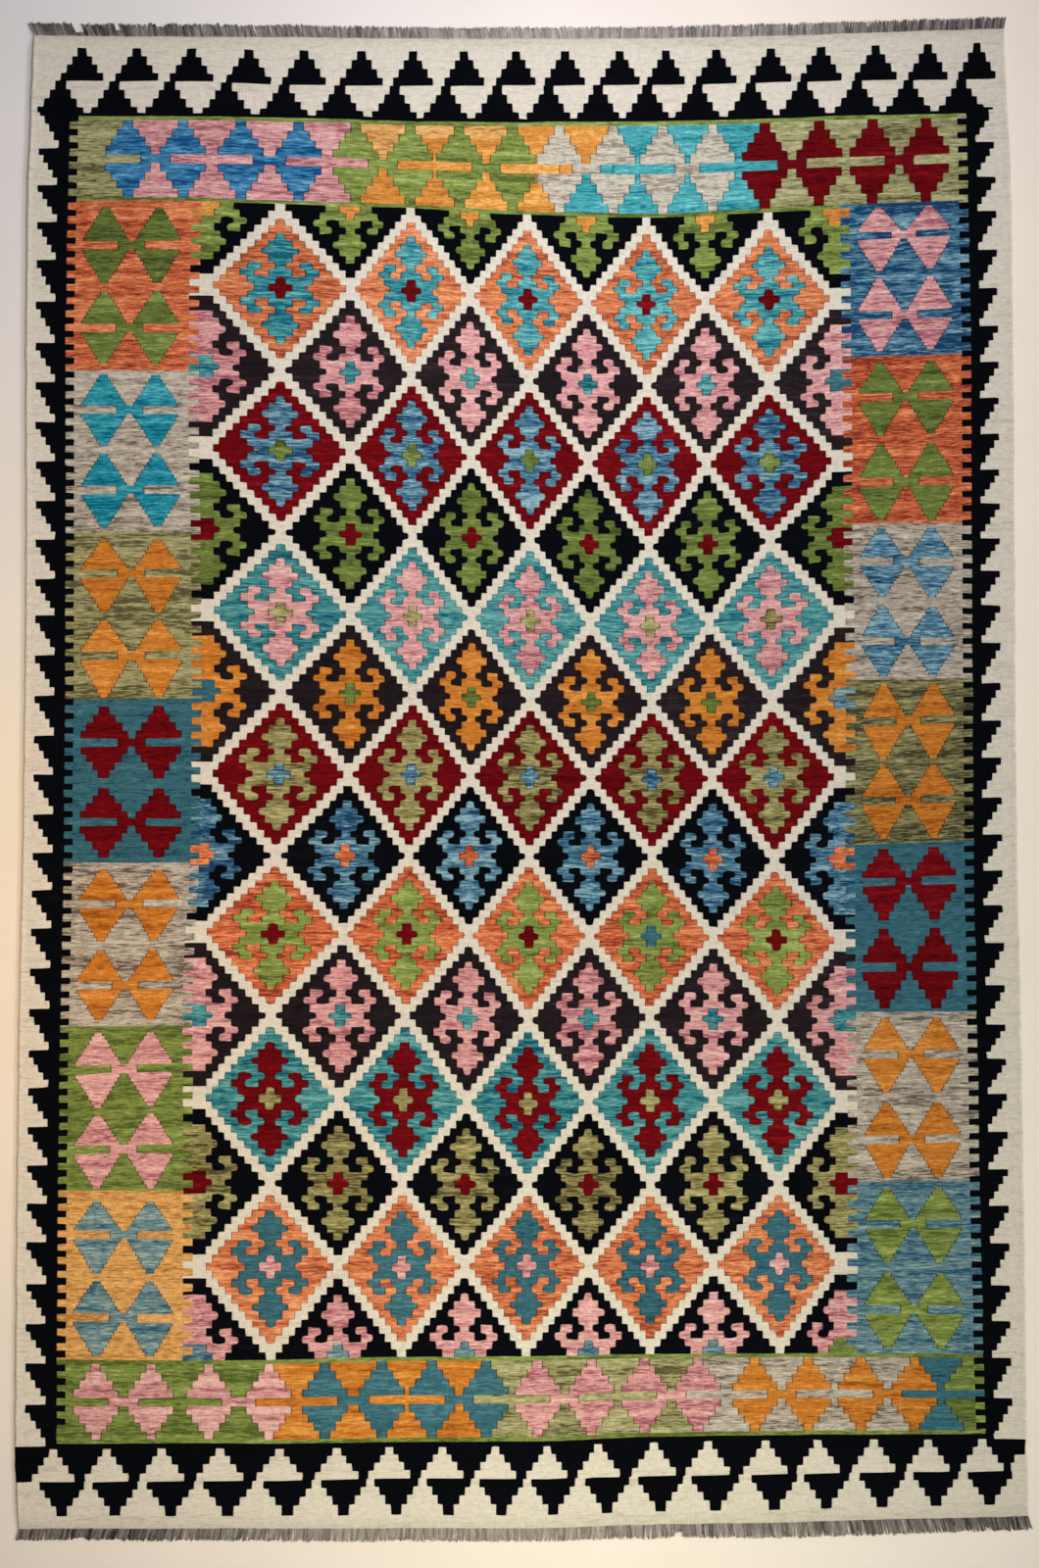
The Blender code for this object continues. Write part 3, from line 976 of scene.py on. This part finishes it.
def make_cloth():
    """The woven cloth as one closed mesh, with the same pattern on both faces."""
    cells = all_cells()
    across, down = corners_on_lines(cells)
    outlines = [cell_outline(cell, across, down) for cell in cells]
    shifts = shifts_of(cells, outlines, across, down)
    outlines = [cell_outline(cell, across, down) for cell in cells]
    places = list(dict.fromkeys(place for outline in outlines for place in outline))
    number = {place: index for index, place in enumerate(places)}
    faces = [[number[place] for place in outline] for outline in outlines]
    yarns = [list(YARNS).index(cell[4]) for cell in cells]
    lots, rim = find_lots(faces, yarns)
    points, beside = cloth_points(places, rim, shifts)

    count = len(places)
    polygons = faces + [[count + index for index in reversed(face)] for face in faces]
    slots = yarns * 2
    lot_values = [random.Random(lot).random() for lot in lots] * 2
    gaps = both_faces([slit_gaps(*group) for group in zip(cells, outlines, slits_beside(cells))])
    plan = both_faces([[drawn_in(place, shifts) for place in outline] for outline in outlines])

    face_of_side = {side: index for index, face in enumerate(faces) for side in sides_of(face)}
    for a, b in rim:
        source = face_of_side[a, b]
        polygons += [(b, a, beside[a], beside[b]), (beside[b], beside[a], count + a, count + b)]
        slots += [yarns[source]] * 2
        lot_values += [lot_values[source]] * 2
        gaps += [(NO_SLIT, NO_SLIT, 0.0)] * 8
        plan += rim_plan(places[a], places[b], 0.0, RIM_TURN)
        plan += rim_plan(places[a], places[b], RIM_TURN, 2 * RIM_TURN)

    cloth = new_object("kilim_cloth", points, polygons)
    mesh = cloth.data
    for name, look in YARNS.items():
        mesh.materials.append(yarn_material(name, *look))
    mesh.polygons.foreach_set("material_index", slots)
    add_layer(mesh, "lot", "FLOAT", "FACE", "value", lot_values)
    add_layer(mesh, "slit", "FLOAT_VECTOR", "CORNER", "vector", [v for gap in gaps for v in gap])
    layout = mesh.uv_layers.new(name="OFBake")
    layout.data.foreach_set("uv", [v for s, t in plan for v in (s / WIDTH, 1 - t / LENGTH)])
    return cloth


def add_layer(mesh, name, kind, domain, field_name, values):
    """A named value on each face or corner."""
    layer = mesh.attributes.new(name, kind, domain)
    layer.data.foreach_set(field_name, values)


def new_object(name, points, faces):
    """One mesh as a named piece that rides on the rug."""
    mesh = bpy.data.meshes.new(name)
    mesh.from_pydata(points, [], faces)
    mesh.polygons.foreach_set("use_smooth", [True] * len(mesh.polygons))
    mesh.update()
    item = place_new(name, mesh)
    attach(item, "root")
    return item


# ---- Materials ----

# Painted shade: a yarn is drawn darker next to a slit, standing for the shade in the slit's gap; ivory
# takes less of it.
SLIT_PAINTED_SHADE = 0.66              # how much darker a dyed yarn is where it turns back at a slit
IVORY_SLIT_PAINTED_SHADE = 0.25
RIB_PITCH = 5.0               # millimetres between two warps, and between two wefts
WEFT_PITCH = 2.2
SHADE_STOPS = (0.3, 0.44, 0.56, 0.72)     # dark, middle twice, light
WARP_COLOURS = (
    (62, 56, 54), (122, 115, 112), (182, 172, 168), (206, 196, 182), (216, 206, 190),
)
# Painted light: the floor's colour is cooler at the far end and warmer at the far right, standing in for
# how the room's light falls.
FLOOR_PAINTED_LIGHT_COLOURS = ((236, 230, 228), (243, 231, 211), (237, 226, 215))   # far end to near end
FAR_RIGHT_FLOOR_PAINTED_LIGHT = (242, 227, 212)


def linear(colour):
    """sRGB from 0 to 255 as Blender's linear colour."""
    values = [c / 255 for c in colour]
    return tuple(c / 12.92 if c <= 0.04045 else ((c + 0.055) / 1.055) ** 2.4 for c in values) + (1.0,)


class Nodes:
    """Short calls to lay out a node tree."""

    def __init__(self, tree):
        self.tree = tree

    def add(self, kind, inputs=(), **settings):
        node = self.tree.nodes.new(kind)
        for name, value in settings.items():
            setattr(node, name, value)
        for key, value in dict(inputs).items():
            if isinstance(value, bpy.types.NodeSocket):
                self.tree.links.new(value, node.inputs[key])
            else:
                node.inputs[key].default_value = value
        return node

    def math(self, operation, *values):
        return self.add("ShaderNodeMath", dict(enumerate(values)), operation=operation).outputs[0]

    def vector(self, operation, *values):
        return self.add("ShaderNodeVectorMath", dict(enumerate(values)), operation=operation).outputs[0]

    def scaled(self, vector, scale):
        return self.vector("MULTIPLY", vector, scale)

    def moved(self, vector, offset):
        return self.vector("ADD", vector, offset)

    def mixed(self, share, first, second, blend="MIX"):
        inputs = {6: first, 7: second, 0: share}
        return self.add("ShaderNodeMix", inputs, data_type="RGBA", blend_type=blend).outputs[2]

    def noise(self, vector, detail=0.0, scale=1.0):
        inputs = {"Vector": vector, "Scale": scale, "Detail": detail, "Roughness": 0.55}
        return self.add("ShaderNodeTexNoise", inputs).outputs["Fac"]

    def smooth_step(self, value, low, high):
        inputs = {"Value": value, "From Min": low, "From Max": high}
        return self.add("ShaderNodeMapRange", inputs, interpolation_type="SMOOTHSTEP").outputs[0]


def weave_group():
    """The weave that all the yarns share: tone along the weft, the painted shade of the ribs and slits
    with the yarn's own unevenness, and the height of the ribs.
    """
    tree = bpy.data.node_groups.new("kilim_weave", "ShaderNodeTree")
    for name in ("Band", "Streak", "SlitShade", "Uneven"):
        tree.interface.new_socket(name, in_out="INPUT", socket_type="NodeSocketFloat")
    for name in ("Tone", "Shade", "Height"):
        tree.interface.new_socket(name, in_out="OUTPUT", socket_type="NodeSocketFloat")
    nodes = Nodes(tree)
    given = nodes.add("NodeGroupInput")
    layout = nodes.add("ShaderNodeUVMap", uv_map="OFBake").outputs[0]
    plan = nodes.scaled(layout, (WIDTH, LENGTH, 0.0))
    lot = nodes.add("ShaderNodeAttribute", attribute_name="lot").outputs["Fac"]
    own = nodes.add("ShaderNodeCombineXYZ", {2: nodes.math("MULTIPLY", lot, 91.0)}).outputs[0]

    broad = nodes.noise(nodes.moved(nodes.scaled(plan, (1 / 230, 1 / 16, 0.0)), own), 2.0)
    fine = nodes.noise(nodes.moved(nodes.scaled(plan, (1 / 24, 1 / 3.2, 0.0)), own), 3.0)
    grain = nodes.noise(nodes.scaled(plan, (1 / 9, 1 / 2.8, 0.0)), 2.0)
    mottle = nodes.noise(nodes.scaled(plan, (1 / 14, 1 / 9, 0.0)), 1.0)
    wander = nodes.noise(nodes.scaled(plan, (1 / 26, 1 / 40, 0.0)))
    tone = nodes.math("MULTIPLY_ADD", nodes.math("SUBTRACT", lot, 0.5), 0.16, 0.5)
    broad = nodes.math("SUBTRACT", broad, 0.5)
    fine = nodes.math("SUBTRACT", fine, 0.5)
    tone = nodes.math("MULTIPLY_ADD", broad, given.outputs["Band"], tone)
    tone = nodes.math("MULTIPLY_ADD", fine, given.outputs["Streak"], tone)

    parts = nodes.add("ShaderNodeSeparateXYZ", {0: plan})
    across = nodes.math("MULTIPLY_ADD", wander, 4.0, parts.outputs[0])
    warp = nodes.math("MULTIPLY", across, math.pi / RIB_PITCH)
    rib = nodes.math("ABSOLUTE", nodes.math("SINE", warp))
    turn = nodes.math("MULTIPLY", nodes.math("FLOOR", nodes.math("DIVIDE", warp, math.pi)), math.pi)
    weft = nodes.math("MULTIPLY_ADD", parts.outputs[1], 2 * math.pi / WEFT_PITCH, turn)
    weft = nodes.math("MULTIPLY_ADD", nodes.math("SINE", weft), 0.5, 0.5)

    slit = nodes.add("ShaderNodeAttribute", attribute_name="slit").outputs["Vector"]
    sides = nodes.add("ShaderNodeSeparateXYZ", {0: slit})
    gap = nodes.math("MINIMUM", sides.outputs[0], sides.outputs[1])
    closed = nodes.smooth_step(gap, 0.2, 2.2)

    # Painted shade: the grooves between the warp ribs are drawn darker.
    shade = nodes.math("MULTIPLY_ADD", rib, 0.12, 0.91)
    uneven = nodes.math("MULTIPLY", nodes.math("SUBTRACT", grain, 0.5), 0.85)
    uneven = nodes.math("MULTIPLY_ADD", nodes.math("SUBTRACT", mottle, 0.5), 0.55, uneven)
    uneven = nodes.math("MULTIPLY_ADD", uneven, given.outputs["Uneven"], 1.0)
    shade = nodes.math("MULTIPLY", shade, uneven)
    # Painted shade at the slits: near a slit the yarn's colour is drawn darker by the share the material
    # gives; the same nearness also flattens the height.
    opened = nodes.math("SUBTRACT", closed, 1.0)
    edge = nodes.math("MULTIPLY_ADD", opened, given.outputs["SlitShade"], 1.0)
    shade = nodes.math("MULTIPLY", shade, edge)
    height = nodes.math("MULTIPLY", rib, 0.5)
    height = nodes.math("MULTIPLY_ADD", weft, 0.12, height)
    height = nodes.math("MULTIPLY_ADD", grain, 0.9, height)
    height = nodes.math("MULTIPLY", height, closed)
    nodes.add("NodeGroupOutput", {"Tone": tone, "Shade": shade, "Height": height})
    return tree


WEAVE = weave_group()


def wool_shader(nodes, colour, height, distance):
    """Matt wool."""
    bump = nodes.add("ShaderNodeBump", {"Height": height, "Strength": 0.7, "Distance": distance})
    inputs = {
        "Base Color": colour,
        "Roughness": 0.95,
        "Specular IOR Level": 0.05,
        "Normal": bump.outputs[0],
    }
    shader = nodes.add("ShaderNodeBsdfPrincipled", inputs)
    nodes.add("ShaderNodeOutputMaterial", {"Surface": shader.outputs[0]})


def tone_ramp(nodes, tone, colours, stops):
    """Colours from the first stop to the last."""
    ramp = nodes.add("ShaderNodeValToRGB", {0: tone})
    elements = ramp.color_ramp.elements
    for stop in stops[1:-1]:
        elements.new(stop)
    for element, stop, colour in zip(elements, stops, colours):
        element.position = stop
        element.color = linear(colour)
    return ramp.outputs[0]


def empty_material(name):
    material = bpy.data.materials.new(name)
    material.use_nodes = True
    material.node_tree.nodes.clear()
    return material, Nodes(material.node_tree)


def yarn_material(name, light, middle, dark, band, streak):
    """One dyed yarn, woven."""
    material, nodes = empty_material("wool_" + name)
    weave = nodes.add("ShaderNodeGroup", node_tree=WEAVE)
    weave.inputs["Band"].default_value = band
    weave.inputs["Streak"].default_value = streak
    # Painted shade at slits, weaker on ivory.
    weave.inputs["SlitShade"].default_value = IVORY_SLIT_PAINTED_SHADE if name == "ivory" else SLIT_PAINTED_SHADE
    weave.inputs["Uneven"].default_value = 0.5 if name == "ivory" else 1.0
    colour = tone_ramp(nodes, weave.outputs["Tone"], (dark, middle, middle, light), SHADE_STOPS)
    shaded = nodes.mixed(1.0, colour, weave.outputs["Shade"], "MULTIPLY")
    wool_shader(nodes, shaded, weave.outputs["Height"], 0.0004)
    return material


# ---- The fringes ----

TUFTS = 366                   # twisted warp ends in each fringe
STRANDS = 7                   # plies that show in each
TUFT_PITCH = MM * WIDTH / TUFTS
TUFT_LENGTHS = (0.9, 1.03)    # least and most, as shares of the length there
STRAND_LENGTHS = (0.84, 1.04)
STRAND_HEIGHTS = (0.0010, 0.0022)
STRAND_RADII = (0.0007, 0.00085, 0.0009, 0.00085, 0.0005)
BEAD_SIZE = (0.0017, 0.0019, 0.0030)   # reach, half width and height of a twined lump
BEAD_INSET = 0.0004
BEAD_TONES = (1.3, 1.6)
# Across the rug: how far the tufts lean, their length in millimetres, and how pale they are.
FAR_LEAN = curve_through(
    (0.0, 300.0, 700.0, 1100.0, 1500.0, 1850.0, WIDTH),
    (-0.42, -0.34, -0.16, -0.10, 0.02, 0.08, 0.30),
)
NEAR_LEAN = curve_through(
    (0.0, 250.0, 600.0, 1000.0, 1400.0, 1700.0, WIDTH),
    (-0.30, -0.34, -0.10, 0.04, 0.12, 0.30, 0.36),
)
FAR_LENGTH = curve_through(
    (0.0, 500.0, 750.0, 1000.0, 1300.0, 1500.0, 1750.0, WIDTH),
    (29.0, 27.0, 24.5, 25.0, 24.5, 26.0, 25.0, 24.0),
)
NEAR_LENGTH = curve_through(
    (0.0, 300.0, 700.0, 1000.0, 1250.0, 1500.0, 1700.0, 1850.0, WIDTH),
    (25.0, 26.5, 27.5, 27.5, 29.0, 31.5, 33.0, 31.5, 29.0),
)
FAR_PALENESS = curve_through(
    (0.0, 150.0, 350.0, 600.0, 850.0, 1050.0, 1400.0, 1600.0, 1750.0, WIDTH),
    (0.4, 0.27, 0.42, 0.5, 0.68, 0.8, 0.64, 0.55, 0.36, 0.28),
)
NEAR_PALENESS = curve_through(
    (0.0, 150.0, 350.0, 700.0, 1100.0, 1300.0, 1500.0, 1750.0, WIDTH),
    (0.3, 0.26, 0.42, 0.68, 0.74, 0.57, 0.5, 0.38, 0.32),
)
# Where tufts were cut or worn short: from, to, and the share of the length that is left.
FAR_GAPS = ((94.0, 107.0, 0.3), (178.0, 184.0, 0.5), (262.0, 281.0, 0.75), (1715.0, 1722.0, 0.6))
NEAR_GAPS = ((120.0, 150.0, 0.85), (1310.0, 1325.0, 0.65), (1900.0, 1912.0, 0.8))


def trimmed(s, gaps):
    """The share of its length that a tuft keeps where some were cut or worn short."""
    for start, stop, share in gaps:
        if start < s < stop:
            return share
    return 1.0


def add_strand(points, faces, route, radii):
    """A thin three-sided strand along a route."""
    first = len(points)
    for index, (x, y, z) in enumerate(route):
        before, after = route[max(index - 1, 0)], route[min(index + 1, len(route) - 1)]
        along = math.atan2(after[1] - before[1], after[0] - before[0])
        side_x, side_y = -math.sin(along), math.cos(along)
        radius = radii[index]
        low = max(z - radius, 0.00005)
        points.append((x, y, z + radius))
        points.append((x - radius * side_x, y - radius * side_y, low))
        points.append((x + radius * side_x, y + radius * side_y, low))
    for ring in range(len(route) - 1):
        start = first + 3 * ring
        for side in range(3):
            following = (side + 1) % 3
            faces.append((start + side, start + following, start + 3 + following, start + 3 + side))
    last = len(points) - 3
    faces.append((first + 2, first + 1, first))
    faces.append((last, last + 1, last + 2))


def strand_route(root, aim, length, bend, height):
    """A short curve over the floor from its root, falling to its tip."""
    route = []
    for step in range(5):
        u = step / 4
        reach = length * u
        sway = bend * math.sin(math.pi * u)
        x = root[0] + aim[0] * reach - aim[1] * sway
        y = root[1] + aim[1] * reach + aim[0] * sway
        route.append((x, y, height * (1 - 0.62 * u)))
    return route


def add_bead(points, faces, centre, reach, half_width, height):
    """One turn of the twined row: a low rounded lump."""
    first = len(points)
    x, y = centre
    for level, share in ((0.0, 1.0), (0.6, 0.86)):
        for corner in range(6):
            turn = math.pi / 3 * corner
            px = x + share * half_width * math.cos(turn)
            py = y + share * reach * math.sin(turn)
            points.append((px, py, level * height))
    points.append((x, y, height))
    for corner in range(6):
        following = (corner + 1) % 6
        low, low_next = first + corner, first + following
        faces.append((low, low_next, low_next + 6, low + 6))
        faces.append((low + 6, low_next + 6, first + 12))
    faces.append(tuple(first + corner for corner in range(5, -1, -1)))


def add_tuft(points, faces, tones, dice, root, way, lean, length, paleness):
    """The strands of one warp end, each with its own place, tilt, bend, length and tone."""
    for strand in range(STRANDS):
        tilt = lean + dice.uniform(-0.1, 0.1)
        size = math.hypot(1.0, tilt)
        aim = (tilt / size, way / size)
        place = ((strand + 0.5) / STRANDS - 0.5) * TUFT_PITCH + dice.uniform(-0.0003, 0.0003)
        start = (root[0] + place, root[1] + way * dice.uniform(0.0, 0.0008))
        bend = dice.uniform(-0.0009, 0.0009)
        own_length = length * dice.uniform(*STRAND_LENGTHS)
        route = strand_route(start, aim, own_length, bend, dice.uniform(*STRAND_HEIGHTS))
        add_strand(points, faces, route, STRAND_RADII)
        tone = paleness + dice.uniform(-0.2, 0.2)
        tones += [tone] * (len(faces) - len(tones))


def make_fringe(name, t, way, lean_at, length_at, paleness_at, gaps, seed):
    """The warp ends of one end of the rug, with the twined row that holds them."""
    dice = random.Random(seed)
    points, faces, tones = [], [], []
    for tuft in range(TUFTS):
        s = (tuft + 0.5) / TUFTS * WIDTH
        root = on_floor(*photo_point(s, t))
        lean = lean_at(s) + 0.16 * noise.noise((tuft / 16, seed, 0.5)) + dice.uniform(-0.05, 0.05)
        length = length_at(s) * trimmed(s, gaps) * dice.uniform(*TUFT_LENGTHS) * MM
        paleness = paleness_at(s) + dice.uniform(-0.25, 0.25)
        add_tuft(points, faces, tones, dice, root, way, lean, length, paleness)
        add_bead(points, faces, (root[0], root[1] - way * BEAD_INSET), *BEAD_SIZE)
        bead_tone = BEAD_TONES[tuft % 2] + dice.uniform(-0.1, 0.1)
        tones += [bead_tone] * (len(faces) - len(tones))
    fringe = new_object(name, points, faces)
    fringe.data.materials.append(warp_material(name))
    add_layer(fringe.data, "tone", "FLOAT", "FACE", "value", tones)
    return fringe


def warp_material(name):
    """Undyed grey warp, each end with its own tone, and ivory where the weft twines round it."""
    material, nodes = empty_material(name + "_warp")
    tone = nodes.add("ShaderNodeAttribute", attribute_name="tone").outputs["Fac"]
    place = nodes.add("ShaderNodeTexCoord").outputs["Object"]
    fibre = nodes.noise(nodes.scaled(place, (900.0, 260.0, 900.0)), 1.0)
    mottle = nodes.noise(nodes.scaled(place, (45.0, 45.0, 45.0)), 1.0)
    mixed = nodes.math("MULTIPLY_ADD", nodes.math("SUBTRACT", fibre, 0.5), 0.5, tone)
    mixed = nodes.math("MULTIPLY_ADD", nodes.math("SUBTRACT", mottle, 0.5), 0.3, mixed)
    mixed = nodes.math("DIVIDE", mixed, 1.6)
    colour = tone_ramp(nodes, mixed, WARP_COLOURS, (0.0, 0.2, 0.5, 0.72, 1.0))
    wool_shader(nodes, colour, fibre, 0.0002)
    return material


# ---- The room ----

SENSOR = 36.0
CAMERA_LENS = 70.0
FRAME_HEIGHT = 1600 * PIXEL
PHOTO_CENTRE = (530.0, 800.0)
FLOOR_REACH = 9.0
FLOOR_LEVEL = -0.0002         # just under the rug
LAMPS = (
    # They all face down: name, place, size, power, colour.
    ("overhead", (0.0, 0.0, 7.4), 4.5, 15.0, (1.0, 1.0, 1.0)),
    ("middle", (0.0, 0.0, 2.2), 1.2, 20.5, (0.98, 1.0, 0.95)),
    ("far_end", (0.12, 1.25, 1.1), 0.7, 8.8, (0.93, 0.94, 1.0)),
    ("near_end", (0.1, -1.45, 1.2), 0.7, 9.0, (1.0, 0.98, 0.7)),
    ("left_side", (-1.2, -0.4, 1.2), 0.7, 5.4, (1.0, 0.54, 0.14)),
)
SUN_POWER = 1.95
SUN_ANGLE = 12.0              # degrees, for a soft edge to the shadows
SUN_AIM = (-1.0, -0.12, -0.36)
ROOM_COLOUR = (0.78, 0.82, 1.0, 1.0)
ROOM_POWER = 0.155


def place_new(name, data):
    """A new object in the scene."""
    item = bpy.data.objects.new(name, data)
    bpy.context.scene.collection.objects.link(item)
    return item


def make_camera():
    """Straight above, with the photograph's frame."""
    data = bpy.data.cameras.new("camera")
    data.sensor_fit = "VERTICAL"
    data.sensor_height = SENSOR
    data.lens = CAMERA_LENS
    camera = place_new("camera", data)
    x, y = on_floor(*PHOTO_CENTRE)
    camera.location = (x, y, FRAME_HEIGHT * CAMERA_LENS / SENSOR)
    bpy.context.scene.camera = camera


def floor_material():
    """Pale plaster with painted light: a little cooler at the far end, warmer at the far right and paler
    to the right.
    """
    material, nodes = empty_material("pale_floor")
    place = nodes.add("ShaderNodeTexCoord").outputs["Object"]
    parts = nodes.add("ShaderNodeSeparateXYZ", {0: place})
    nearness = nodes.smooth_step(parts.outputs[1], 1.7, -1.7)
    base = tone_ramp(nodes, nearness, FLOOR_PAINTED_LIGHT_COLOURS, (0.0, 0.5, 1.0))
    aside = nodes.smooth_step(parts.outputs[0], -1.2, 1.2)
    far_right_painted_light = nodes.math("MULTIPLY", aside, nodes.math("SUBTRACT", 1.0, nearness))
    base = nodes.mixed(far_right_painted_light, base, linear(FAR_RIGHT_FLOOR_PAINTED_LIGHT))
    mottle = nodes.noise(place, 3.0, 5.0)
    # Painted light: the floor is drawn paler to the right; the mottle is the plaster's own.
    pale = nodes.math("MULTIPLY_ADD", parts.outputs[0], 0.055, 1.0)
    pale = nodes.math("MULTIPLY_ADD", nodes.math("SUBTRACT", mottle, 0.5), 0.08, pale)
    colour = nodes.mixed(1.0, base, pale, "MULTIPLY")
    inputs = {"Base Color": colour, "Roughness": 0.85, "Specular IOR Level": 0.1}
    shader = nodes.add("ShaderNodeBsdfPrincipled", inputs)
    nodes.add("ShaderNodeOutputMaterial", {"Surface": shader.outputs[0]})
    return material


def make_floor():
    mesh = bpy.data.meshes.new("floor")
    ways = ((-1, -1), (1, -1), (1, 1), (-1, 1))
    corners = [(x * FLOOR_REACH, y * FLOOR_REACH, FLOOR_LEVEL) for x, y in ways]
    mesh.from_pydata(corners, [], [(0, 1, 2, 3)])
    floor = place_new("floor", mesh)
    mesh.materials.append(floor_material())


def look_along(direction):
    """The rotation that points a light's -Z along a direction."""
    x, y, z = direction
    flat = math.hypot(x, y)
    return (math.atan2(flat, -z), 0.0, math.atan2(-x, y))


def make_lights():
    """A pale room: brighter over the rug's middle and ends, warm from the left and the near end."""
    for name, place, size, power, colour in LAMPS:
        data = bpy.data.lights.new(name, "AREA")
        data.size = size
        data.energy = power
        data.color = colour
        place_new(name, data).location = place
    data = bpy.data.lights.new("side", "SUN")
    data.energy = SUN_POWER
    data.angle = math.radians(SUN_ANGLE)
    place_new("side", data).rotation_euler = look_along(SUN_AIM)


def make_world():
    world = bpy.data.worlds.new("soft_room")
    bpy.context.scene.world = world
    world.use_nodes = True
    background = world.node_tree.nodes["Background"]
    background.inputs["Color"].default_value = ROOM_COLOUR
    background.inputs["Strength"].default_value = ROOM_POWER


def main():
    bpy.context.scene.view_settings.view_transform = "Standard"
    make_camera()
    make_world()
    make_lights()
    make_floor()
    cloth = make_cloth()
    far = make_fringe(
        "far_fringe", 0.0, 1, FAR_LEAN, FAR_LENGTH, FAR_PALENESS, FAR_GAPS, 11)
    near = make_fringe(
        "near_fringe", LENGTH, -1, NEAR_LEAN, NEAR_LENGTH, NEAR_PALENESS, NEAR_GAPS, 23)
    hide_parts("rug_cloth")
    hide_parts("fringe_top")
    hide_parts("fringe_bottom")


main()
